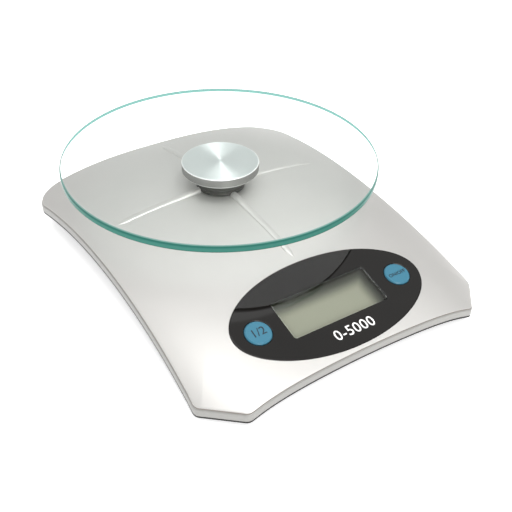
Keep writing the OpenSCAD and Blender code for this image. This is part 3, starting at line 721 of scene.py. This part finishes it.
def makeLoadCell():
    c = loadCell
    hub = bodyShape["hubY"]
    middle, height = hub + (c["front"] + c["rear"]) / 2, c["low"] + c["width"] / 2
    bar = blockAt("loadCell", (0, middle, height), (c["width"], c["rear"] - c["front"], c["width"]))
    choose(bar, "EDGE", lambda e: abs(e.verts[0].co.y - e.verts[1].co.y) > 0.01)
    bpy.ops.mesh.subdivide(number_cuts=c["cuts"])
    done()
    choose(bar, "EDGE", sharpEdge(60))
    bevelEdges(c["edge"], 2)
    for y in c["bores"]:
        pick()
        bpy.ops.mesh.primitive_cylinder_add(vertices=64, radius=c["bore"], depth=2 * c["width"],
                                            location=(0, hub + y, height), rotation=(0, math.pi / 2, 0))
        cutAway(bar, settle(named("bore")))
    cutAway(bar, blockAt("slot", (0, hub + sum(c["bores"]) / 2, height),
                         (2 * c["width"], c["bores"][1] - c["bores"][0], 2 * c["slot"])))
    for y, radius in [(y, c["screw"]) for y in c["screws"]] + [(0, c["hub"])]:
        hole = ringLoop(0, hub + y, radius)
        cutAway(bar, prism(hole, c["low"] - 0.001, c["low"] + c["width"] + 0.001))
    smoothBy(bar, 35)
    bendOverBores(bar)
    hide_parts("load_cell")
    return bar


def makeStrainGauges():
    g = strainGauges
    first = blockAt("gauge", (0, 0, 0), (g["width"], g["length"], g["thickness"]))
    choose(first, "EDGE", sharpEdge(60))
    bevelEdges(g["edge"], 2)
    gauges = []
    for y in loadCell["bores"]:
        for height in (loadCell["low"] - g["thickness"] / 2,
                       loadCell["low"] + loadCell["width"] + g["thickness"] / 2):
            copy = copied(first)
            copy.location = (0, bodyShape["hubY"] + y, height)
            gauges.append(settle(copy))
    pick(first)
    bpy.ops.object.delete()
    foils = joined("strainGauges", gauges)
    smoothBy(foils, 35)
    bendOverBores(foils)
    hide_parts("strain_gauges")
    return foils


# lettering that names nothing: plain numbers, and ON/OFF on the power button

legends = {
    "range": {"text": "0-5000", "size": 0.0078, "bold": 0.00002, "spacing": 1.06, "place": (0.0012, -0.0186),
              "body": "scale_base", "finish": "legend_white"},
    "power": {"text": "ON/OFF", "size": 0.0027, "bold": 0.00006, "spacing": 1.06, "place": (0.0415, -0.0008),
              "body": "power_key", "finish": "legend_dark"},
    "unit": {"text": "1/2", "size": 0.0062, "bold": 0.00002, "spacing": 1.0, "place": (-0.0415, -0.0008),
             "body": "unit_key", "finish": "legend_dark"},
}
legendLift = {"scale_base": 0.00001, "power_key": 0.00061, "unit_key": 0.00061}
legendDepth = 0.00002


def makeLegend(name):
    look = legends[name]
    pick()
    bpy.ops.object.text_add(location=(0, 0, 0))
    words = bpy.context.object
    words.data.body = look["text"]
    words.data.size = look["size"]
    words.data.align_x = "CENTER"
    words.data.align_y = "CENTER"
    words.data.extrude = legendDepth
    words.data.offset = look["bold"]
    words.data.space_character = look["spacing"]
    pick(words)
    bpy.ops.object.convert(target="MESH")
    obj = named(name + "Legend")
    lift = legendLift[look["body"]]
    obj.matrix_world = onPanel @ Matrix.Translation((*look["place"], lift + legendDepth))
    settle(obj)
    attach(obj, look["body"])
    return obj


# short ways to write node trees: values are the sockets' values, a link is node, output, node, input

def fill(node, values):
    for socket, value in values.items():
        node.inputs[socket].default_value = value


def addNode(tree, kind, values=None, **settings):
    node = tree.nodes.new("ShaderNode" + kind)
    for name, value in settings.items():
        setattr(node, name, value)
    fill(node, values or {})
    return node


def wire(tree, *links):
    for source, output, target, entry in links:
        tree.links.new(source.outputs[output], target.inputs[entry])


def newMaterial(name):
    material = bpy.data.materials.new(name)
    material.use_nodes = True
    return material, material.node_tree, material.node_tree.nodes["Principled BSDF"]


# shader groups

def newGroup(name, inputs, outputs):
    group = bpy.data.node_groups.new(name, "ShaderNodeTree")
    for label, kind, value in inputs:
        socket = group.interface.new_socket(name=label, in_out="INPUT", socket_type="NodeSocket" + kind)
        socket.default_value = value
    for label in outputs:
        group.interface.new_socket(name=label, in_out="OUTPUT", socket_type="NodeSocketFloat")
    return group, group.nodes.new("NodeGroupInput"), group.nodes.new("NodeGroupOutput")


def grainGroup():
    group, given, result = newGroup(
        "fineGrain", [("Grain Scale", "Float", 4000), ("Mottle Scale", "Float", 60)], ["Grain", "Mottle"])
    spot = addNode(group, "TexCoord")
    for label, detail in (("Grain", 2), ("Mottle", 4)):
        noise = addNode(group, "TexNoise", {"Detail": detail})
        wire(group, (spot, "Object", noise, "Vector"), (given, label + " Scale", noise, "Scale"),
             (noise, "Fac", result, label))
    return group


def turnedGroup():
    # fine rings round an upright axis, on flat faces and on the sides
    group, given, result = newGroup(
        "turnedLines", [("Vector", "Vector", (0, 0, 0)), ("Lines", "Float", 3000)], ["Lines", "Bands"])
    split = addNode(group, "SeparateXYZ")
    flat = addNode(group, "CombineXYZ")
    radius = addNode(group, "VectorMath", operation="LENGTH")
    total = addNode(group, "Math", operation="ADD")
    wire(group, (given, "Vector", split, 0), (split, "X", flat, "X"), (split, "Y", flat, "Y"),
         (flat, 0, radius, 0), (radius, "Value", total, 0), (split, "Z", total, 1))
    for label, share in (("Lines", 1.0), ("Bands", 0.25)):
        scale = addNode(group, "Math", {1: share}, operation="MULTIPLY")
        noise = addNode(group, "TexNoise", {"Detail": 1}, noise_dimensions="1D")
        wire(group, (given, "Lines", scale, 0), (total, 0, noise, "W"), (scale, 0, noise, "Scale"),
             (noise, "Fac", result, label))
    return group


def borderGroup():
    # a soft border just inside an upright or tilted rectangle: 1 at its edge, 0 from the reach inwards
    group, given, result = newGroup("softBorder", [
        ("Vector", "Vector", (0, 0, 0)), ("Half Length", "Float", 0.03), ("Half Width", "Float", 0.01),
        ("Reach", "Float", 0.004)], ["Mask"])
    split = addNode(group, "SeparateXYZ")
    nearest = addNode(group, "Math", operation="MINIMUM")
    wire(group, (given, "Vector", split, 0))
    for index, (axis, half) in enumerate((("X", "Half Length"), ("Y", "Half Width"))):
        size = addNode(group, "Math", operation="ABSOLUTE")
        room = addNode(group, "Math", operation="SUBTRACT")
        wire(group, (split, axis, size, 0), (given, half, room, 0), (size, 0, room, 1),
             (room, 0, nearest, index))
    fade = addNode(group, "MapRange", {"From Min": 0, "To Min": 1, "To Max": 0},
                   interpolation_type="SMOOTHSTEP")
    wire(group, (nearest, 0, fade, "Value"), (given, "Reach", fade, "From Max"),
         (fade, "Result", result, "Mask"))
    return group


groups = {"grain": grainGroup(), "turned": turnedGroup(), "border": borderGroup()}

# finishes: colour pairs are mixed by a soft mottle, roughness and bump follow the grain, if they are given

finishes = {
    "cover_silver": dict(colors=((0.56, 0.55, 0.53), (0.59, 0.58, 0.56)), metallic=0.6,
                         roughness=(0.42, 0.50), grain=5200, mottle=35, bump=0.05, depth=0.00002),
    "housing_silver": dict(colors=((0.27, 0.266, 0.254), (0.30, 0.296, 0.282)), metallic=0.3,
                           roughness=(0.40, 0.48), grain=4200, mottle=25, bump=0.05, depth=0.00002),
    "disc_aluminium": dict(colors=((0.78, 0.82, 0.81), (0.82, 0.85, 0.84)), metallic=0.5,
                           grain=3000, mottle=80),
    "disc_edge": dict(colors=((0.80, 0.81, 0.80), (0.86, 0.87, 0.86)), metallic=0.5,
                      roughness=(0.26, 0.34), grain=3000, mottle=120, bump=0.02, depth=0.00001),
    # painted shade: the disc's side is the same turned aluminium as its top, given a darker colour for the
    # shade on it
    "disc_side_shade": dict(colors=((0.26, 0.26, 0.25), (0.31, 0.31, 0.30)), metallic=0.85,
                      grain=3000, mottle=80),
    # painted shade: the collar is grey plastic, kept near black and olive for the shadow of the disc over it
    "hub_plastic": dict(colors=((0.024, 0.025, 0.019), (0.036, 0.037, 0.030)), metallic=0.0,
                        roughness=(0.38, 0.46), grain=3500, mottle=120, bump=0.06, depth=0.00002),
    "base_plastic": dict(colors=((0.014, 0.014, 0.013), (0.020, 0.020, 0.019)), metallic=0.0,
                         bending=1.3, roughness=(0.50, 0.62), grain=2600, mottle=60, bump=0.25,
                         depth=0.00004),
    "tray_plastic": dict(colors=((0.030, 0.030, 0.028), (0.040, 0.040, 0.036)), metallic=0.0,
                         roughness=(0.45, 0.55), grain=3000, mottle=90, bump=0.1, depth=0.00003),
    "panel_black": dict(colors=((0.006, 0.0055, 0.005), (0.010, 0.009, 0.008)), metallic=0.0,
                        roughness=(0.02, 0.05), grain=900, mottle=40, bending=1.52),
    "button_blue": dict(colors=((0.036, 0.162, 0.240), (0.042, 0.174, 0.256)), metallic=0.0,
                        roughness=(0.28, 0.36), grain=3500, mottle=150, bump=0.04, depth=0.00002),
    "lcd_grey": dict(colors=((0.226, 0.222, 0.170), (0.242, 0.238, 0.184)), metallic=0.0,
                     roughness=(0.30, 0.36), grain=5000, mottle=30),
    # painted shadow: the cover's cut edge is kept dark brown to draw the shadow line in the gap above the
    # band
    "cover_edge_shadow": dict(colors=((0.17, 0.155, 0.14), (0.21, 0.19, 0.17)), metallic=0.3,
                       roughness=(0.40, 0.50), grain=4200, mottle=60, bump=0.05, depth=0.00002),
    "frame_grey": dict(colors=((0.05, 0.052, 0.040), (0.065, 0.067, 0.05)), metallic=0.0,
                       roughness=(0.45, 0.55), grain=3000, mottle=90, bump=0.05, depth=0.00002),
    "zebra_rubber": dict(colors=((0.12, 0.12, 0.13), (0.18, 0.18, 0.19)), metallic=0.0,
                         roughness=(0.6, 0.75), grain=2500, mottle=600, bump=0.2, depth=0.00003),
    "board_green": dict(colors=((0.010, 0.11, 0.035), (0.016, 0.15, 0.05)), metallic=0.0,
                        roughness=(0.25, 0.35), grain=2200, mottle=300, bump=0.1, depth=0.00002),
    "chip_resin": dict(colors=((0.008, 0.008, 0.008), (0.014, 0.014, 0.014)), metallic=0.0,
                       roughness=(0.2, 0.35), grain=1500, mottle=200, bump=0.2, depth=0.00005),
    "screw_steel": dict(colors=((0.48, 0.48, 0.47), (0.58, 0.58, 0.57)), metallic=1.0,
                        roughness=(0.25, 0.38), grain=3000, mottle=300, bump=0.05, depth=0.00002),
    "switch_plastic": dict(colors=((0.015, 0.015, 0.015), (0.03, 0.03, 0.03)), metallic=0.0,
                           roughness=(0.4, 0.5), grain=3000, mottle=200, bump=0.08, depth=0.00002),
    "cell_aluminium": dict(colors=((0.62, 0.62, 0.61), (0.72, 0.72, 0.71)), metallic=1.0,
                           roughness=(0.3, 0.42), grain=1800, mottle=120, bump=0.1, depth=0.00003),
    "gauge_foil": dict(colors=((0.45, 0.25, 0.05), (0.62, 0.38, 0.10)), metallic=0.3,
                       roughness=(0.2, 0.35), grain=2500, mottle=900, bump=0.1, depth=0.00002),
    "lead_red": dict(colors=((0.30, 0.012, 0.010), (0.38, 0.02, 0.015)), metallic=0.0,
                     roughness=(0.35, 0.45), grain=2500, mottle=150, bump=0.05, depth=0.00002),
    "battery_jacket": dict(colors=((0.02, 0.06, 0.16), (0.03, 0.08, 0.2)), metallic=0.6,
                           roughness=(0.25, 0.35), grain=2500, mottle=90, bump=0.04, depth=0.00002),
    "contact_nickel": dict(colors=((0.62, 0.60, 0.55), (0.72, 0.70, 0.66)), metallic=1.0,
                           roughness=(0.2, 0.32), grain=2500, mottle=300, bump=0.05, depth=0.00002),
    "foot_rubber": dict(colors=((0.018, 0.018, 0.018), (0.03, 0.03, 0.03)), metallic=0.0,
                        roughness=(0.7, 0.85), grain=2200, mottle=200, bump=0.3, depth=0.00005),
    "legend_white": dict(colors=((0.86, 0.86, 0.85), (0.92, 0.92, 0.91)), metallic=0.0,
                         roughness=(0.4, 0.5), grain=4000, mottle=200),
    "legend_dark": dict(colors=((0.005, 0.016, 0.026), (0.008, 0.022, 0.034)), metallic=0.0,
                        roughness=(0.4, 0.5), grain=4000, mottle=200),
}


def makeFinish(name):
    look = finishes[name]
    material, tree, shader = newMaterial(name)
    fill(shader, {"Metallic": look["metallic"], "IOR": look.get("bending", 1.5)})
    grain = addNode(tree, "Group", {"Grain Scale": look["grain"], "Mottle Scale": look["mottle"]},
                    node_tree=groups["grain"])
    first, second = look["colors"]
    tint = addNode(tree, "Mix", {"A": (*first, 1), "B": (*second, 1)}, data_type="RGBA")
    wire(tree, (grain, "Mottle", tint, "Factor"), (tint, "Result", shader, "Base Color"))
    if "roughness" in look:
        low, high = look["roughness"]
        rough = addNode(tree, "MapRange", {"To Min": low, "To Max": high})
        wire(tree, (grain, "Grain", rough, "Value"), (rough, "Result", shader, "Roughness"))
    if "bump" in look:
        bump = addNode(tree, "Bump", {"Strength": look["bump"], "Distance": look["depth"]})
        wire(tree, (grain, "Grain", bump, "Height"), (bump, "Normal", shader, "Normal"))
    return material


turnedLook = {
    "disc_aluminium": {"lines": 9000, "streak": 0.97, "turn": 0.25, "rough": 0.50, "bands": (0.93, 1.0),
                       "bump": 0.12, "depth": 0.00002},
    "disc_side_shade": {"lines": 6000, "streak": 0.6, "turn": 0.0, "rough": 0.42, "bands": (0.78, 1.0),
                  "bump": 0.3, "depth": 0.00002},
}


def addTurning(name):
    # rings left by the lathe: the gloss is drawn out across them, so it fans from the middle
    look = turnedLook[name]
    tree = materials[name].node_tree
    shader = tree.nodes["Principled BSDF"]
    spot = addNode(tree, "TexCoord")
    centre = addNode(tree, "Mapping", {"Location": (0, -bodyShape["hubY"], 0)})
    rings = addNode(tree, "Group", {"Lines": look["lines"]}, node_tree=groups["turned"])
    low, high = look["bands"]
    shade = addNode(tree, "MapRange", {"To Min": low, "To Max": high})
    tint = addNode(tree, "VectorMath", operation="SCALE")
    bump = addNode(tree, "Bump", {"Strength": look["bump"], "Distance": look["depth"]})
    tangent = addNode(tree, "Tangent", direction_type="RADIAL", axis="Z")
    tree.links.new(shader.inputs["Base Color"].links[0].from_socket, tint.inputs[0])
    wire(tree, (spot, "Object", centre, "Vector"), (centre, "Vector", rings, "Vector"),
         (rings, "Bands", shade, "Value"), (shade, "Result", tint, "Scale"),
         (tint, "Vector", shader, "Base Color"), (rings, "Lines", bump, "Height"),
         (bump, "Normal", shader, "Normal"), (tangent, "Tangent", shader, "Tangent"))
    fill(shader, {"Roughness": look["rough"], "Anisotropic": look["streak"],
                  "Anisotropic Rotation": look["turn"]})


# painted shade on the display near the window's edge: its size, how far it reaches, its dark colour and its
# shift
lcdEdgeShade = {"length": 0.0580, "width": 0.0250, "reach": 0.0082, "dark": (0.020, 0.022, 0.012),
           "shift": (-0.0020, -0.0026, 0)}


def addLcdEdgeShade():
    # painted shade: the display is darkened softly towards its edges, where the recess round it is in shade
    look = lcdEdgeShade
    tree = materials["lcd_grey"].node_tree
    shader = tree.nodes["Principled BSDF"]
    spot = addNode(tree, "TexCoord")
    centre = addNode(tree, "Mapping", {"Location": onPanel @ Vector(look["shift"]),
                                       "Rotation": (math.radians(panelPlace["tilt"]), 0, 0)},
                     vector_type="TEXTURE")
    border = addNode(tree, "Group", {"Half Length": look["length"] / 2, "Half Width": look["width"] / 2,
                                     "Reach": look["reach"]}, node_tree=groups["border"])
    tint = addNode(tree, "Mix", {"B": (*look["dark"], 1)}, data_type="RGBA")
    tree.links.new(shader.inputs["Base Color"].links[0].from_socket, tint.inputs["A"])
    wire(tree, (spot, "Object", centre, "Vector"), (centre, "Vector", border, "Vector"),
         (border, "Mask", tint, "Factor"), (tint, "Result", shader, "Base Color"))


# the rim of the glass: its teal at heights in mm over its underside, lighter and darker by height as painted
# highlights and shade lines along its ground edge, and the share of its height below which it stays clear
# where it is seen from inside
glassEdge = {"stops": ((0.0, (0.050, 0.150, 0.125)), (0.5, (0.024, 0.125, 0.099)),
                       (1.0, (0.050, 0.194, 0.158)), (2.4, (0.045, 0.180, 0.145)),
                       (3.0, (0.022, 0.120, 0.096)), (3.6, (0.024, 0.128, 0.102)),
                       (3.95, (0.20, 0.33, 0.30))),
             "roughness": 0.18, "shine": 0.05, "through": 0.6, "seenThrough": (0.26, 0.51, 0.47),
             "mirrored": (0.001, 0.002, 0.004), "clearBelow": (0.30, 0.42)}


def makeGlassEdge():
    look = glassEdge
    material, tree, shader = newMaterial("glass_edge")
    fill(shader, {"Roughness": look["roughness"], "Specular IOR Level": look["shine"]})
    spot = addNode(tree, "TexCoord")
    split = addNode(tree, "SeparateXYZ")
    height = addNode(tree, "MapRange", {"From Min": glassPlate["top"] - glassPlate["thickness"],
                                        "From Max": glassPlate["top"]})
    colors = addNode(tree, "ValToRGB")
    ramp = colors.color_ramp
    for index, (place, color) in enumerate(look["stops"]):
        level = place / (1000 * glassPlate["thickness"])
        stop = ramp.elements[index] if index < 2 else ramp.elements.new(level)
        stop.position = level
        stop.color = (*color, 1)
    # mirrored in the panel, the rim is seen from below, in shade: it is painted nearly black for reflected
    # rays
    path = addNode(tree, "LightPath")
    tint = addNode(tree, "Mix", {"B": (*look["mirrored"], 1)}, data_type="RGBA")
    outside = addNode(tree, "Math", operation="SUBTRACT", use_clamp=True)
    wire(tree, (spot, "Object", split, 0), (split, "Z", height, "Value"), (height, "Result", colors, "Fac"),
         (path, "Is Glossy Ray", outside, 0), (path, "Is Transmission Ray", outside, 1),
         (outside, 0, tint, "Factor"), (colors, "Color", tint, "A"), (tint, "Result", shader, "Base Color"))
    # seen from inside, through the glass, the far rim lets light through
    facing = addNode(tree, "NewGeometry")
    clear = addNode(tree, "BsdfTransparent", {"Color": (*look["seenThrough"], 1)})
    share = addNode(tree, "Math", {1: look["through"]}, operation="MULTIPLY")
    blend = addNode(tree, "MixShader")
    wire(tree, (facing, "Backfacing", share, 0), (share, 0, blend, "Fac"), (shader, 0, blend, 1),
         (clear, 0, blend, 2))
    # bent by the glass, only the upper part of the far rim shows
    start, end = look["clearBelow"]
    low = addNode(tree, "MapRange", {"From Min": start, "From Max": end, "To Min": 1, "To Max": 0})
    unseen = addNode(tree, "Math", operation="MULTIPLY")
    nothing = addNode(tree, "BsdfTransparent")
    cover = addNode(tree, "MixShader")
    wire(tree, (height, "Result", low, "Value"), (low, "Result", unseen, 0),
         (facing, "Backfacing", unseen, 1), (unseen, 0, cover, "Fac"), (blend, 0, cover, 1),
         (nothing, 0, cover, 2), (cover, 0, tree.nodes["Material Output"], "Surface"))
    return material


clearGlasses = {"platter_glass": {"color": (0.985, 1.0, 0.995), "bending": 1.03, "gloss": 0.2},
                "window_clear": {"color": (0.98, 1.0, 0.98), "bending": 1.2, "gloss": 1.0}}


def makeGlassFinish(name):
    # clear glass that lets the light of the lamps through to what lies under it
    look = clearGlasses[name]
    material, tree, shader = newMaterial(name)
    fill(shader, {"Base Color": (*look["color"], 1), "Roughness": 0.0, "IOR": look["bending"],
                  "Transmission Weight": 1.0, "Coat Weight": look["gloss"], "Coat Roughness": 0.01})
    clear = addNode(tree, "BsdfTransparent", {"Color": (*look["color"], 1)})
    path = addNode(tree, "LightPath")
    either = addNode(tree, "Math", operation="MAXIMUM")
    blend = addNode(tree, "MixShader")
    wire(tree, (path, "Is Shadow Ray", either, 0), (path, "Is Diffuse Ray", either, 1),
         (either, 0, blend, "Fac"), (shader, 0, blend, 1), (clear, 0, blend, 2),
         (blend, 0, tree.nodes["Material Output"], "Surface"))
    return material


def wear(obj, material):
    if obj.material_slots:
        for slot in obj.material_slots:
            slot.material = material
    else:
        obj.data.materials.append(material)


# the whole scene

cover = makeCoverPlate()
print("cover plate", len(cover.data.polygons))
ribs = makeRibs()
band = makeBandShell()
print("band shell", len(band.data.polygons))
base = makeBaseShell()
print("base shell", len(base.data.polygons))
disc = makeHubDisc()
collar = makeCollar()
glass = makeGlass()
panel = makePanelFace()
lens = makeWindowLens()
print("panel", len(panel.data.polygons), "lens", len(lens.data.polygons))
cell = makeLoadCell()
foils = makeStrainGauges()
print("load cell", len(cell.data.polygons), "gauges", len(foils.data.polygons))
letters = {name: makeLegend(name) for name in legends}
print("legends")

materials = {name: makeFinish(name) for name in finishes}
for name in clearGlasses:
    materials[name] = makeGlassFinish(name)
for name in turnedLook:
    addTurning(name)
addLcdEdgeShade()
for part in frame["record"]["subparts"]:
    wear(nodes[part["node"]], materials[part["material_slot"]])
for piece, finish in ((cover, "cover_silver"), (ribs, "cover_silver"), (band, "housing_silver"),
                      (base, "base_plastic"), (panel, "panel_black"), (lens, "window_clear"),
                      (cell, "cell_aluminium"), (foils, "gauge_foil"), (collar, "hub_plastic"),
                      (disc, "disc_aluminium")):
    wear(piece, materials[finish])
for name, words in letters.items():
    wear(words, materials[legends[name]["finish"]])

# the cover's cut edge is painted dark as a shadow line, the disc's side is a darker copy of its metal as
# painted shade, and its softened edges and the rim of the glass have their own looks
cover.data.materials.append(materials["cover_edge_shadow"])
for face in cover.data.polygons:
    if abs(face.normal.z) < 0.3 and face.center.xy.length > coverPlate["rimFrom"]:
        face.material_index = 1
disc.data.materials.append(materials["disc_side_shade"])
disc.data.materials.append(materials["disc_edge"])
for face in disc.data.polygons:
    high = face.center.z > hubDisc["top"] - hubDisc["edge"]
    low = face.center.z < hubDisc["top"] - hubDisc["thickness"] + hubDisc["edge"]
    face.material_index = 0 if high and face.normal.z > 0.99 else 2 if high or low else 1
glass.data.materials.append(materials["platter_glass"])
glass.data.materials.append(makeGlassEdge())
for face in glass.data.polygons:
    face.material_index = 0 if abs(face.normal.z) > 0.99 else 1
print("materials")

# floor, light and camera

studio = {"floor": 6.0, "floorGlow": 0.6, "sky": 0.55, "backdrop": 1.0, "lamps": {
    "key": {"place": (0.64, 0.634, 1.2), "size": 0.74, "power": 0.7},
    "top": {"place": (-0.3, 0.05, 1.5), "size": 0.9, "power": 6.4},
    "topFront": {"place": (-0.16, -0.76, 1.3), "size": 0.8, "power": 8.4},
    "topRight": {"place": (0.35, -0.45, 1.4), "size": 0.6, "power": 5.8},
    "front": {"place": (-0.3, -1.45, 0.9), "size": 0.8, "power": 8.0}}, "aim": (0, -0.02, 0.03)}
cameraSpot = {"place": (-0.1944, -0.3032, 0.2645), "forward": (0.44897, 0.67081, -0.59024),
              "roll": 1.035, "lens": 56.25, "sensor": 36, "nearest": 0.01}


def makeStudio():
    pick()
    bpy.ops.mesh.primitive_plane_add(size=studio["floor"])
    floor = named("floor")
    material, _, shader = newMaterial("floor")
    fill(shader, {"Base Color": (0.95, 0.95, 0.95, 1), "Roughness": 0.9, "Emission Color": (1, 1, 1, 1),
                  "Emission Strength": studio["floorGlow"]})
    floor.data.materials.append(material)

    # the camera sees a white backdrop, the object is lit by a dimmer sky
    world = bpy.data.worlds.new("studio")
    bpy.context.scene.world = world
    world.use_nodes = True
    tree = world.node_tree
    sky = tree.nodes["Background"]
    fill(sky, {"Color": (1, 1, 1, 1), "Strength": studio["sky"]})
    white = addNode(tree, "Background", {"Strength": studio["backdrop"]})
    path = addNode(tree, "LightPath")
    blend = addNode(tree, "MixShader")
    wire(tree, (path, "Is Camera Ray", blend, "Fac"), (sky, 0, blend, 1), (white, 0, blend, 2),
         (blend, 0, tree.nodes["World Output"], "Surface"))

    for name, look in studio["lamps"].items():
        pick()
        bpy.ops.object.light_add(type="AREA", location=look["place"])
        lamp = bpy.context.object
        lamp.name = name
        lamp.data.shape = "DISK"
        lamp.data.size = look["size"]
        lamp.data.energy = look["power"]
        aim = Vector(studio["aim"]) - Vector(look["place"])
        lamp.rotation_euler = aim.to_track_quat("-Z", "Y").to_euler()


def makeCamera():
    forward = Vector(cameraSpot["forward"]).normalized()
    right = forward.cross(Vector((0, 0, 1))).normalized()
    up = right.cross(forward)
    roll = math.radians(cameraSpot["roll"])
    turnedRight = math.cos(roll) * right + math.sin(roll) * up
    turnedUp = math.cos(roll) * up - math.sin(roll) * right
    pick()
    bpy.ops.object.camera_add()
    camera = bpy.context.object
    camera.name = "camera"
    camera.data.lens = cameraSpot["lens"]
    camera.data.sensor_width = cameraSpot["sensor"]
    camera.data.clip_start = cameraSpot["nearest"]
    columns = Matrix((turnedRight, turnedUp, -forward)).transposed().to_4x4()
    camera.matrix_world = Matrix.Translation(cameraSpot["place"]) @ columns
    bpy.context.scene.camera = camera


makeStudio()
makeCamera()
bpy.context.scene.view_settings.view_transform = "Standard"
print("studio")
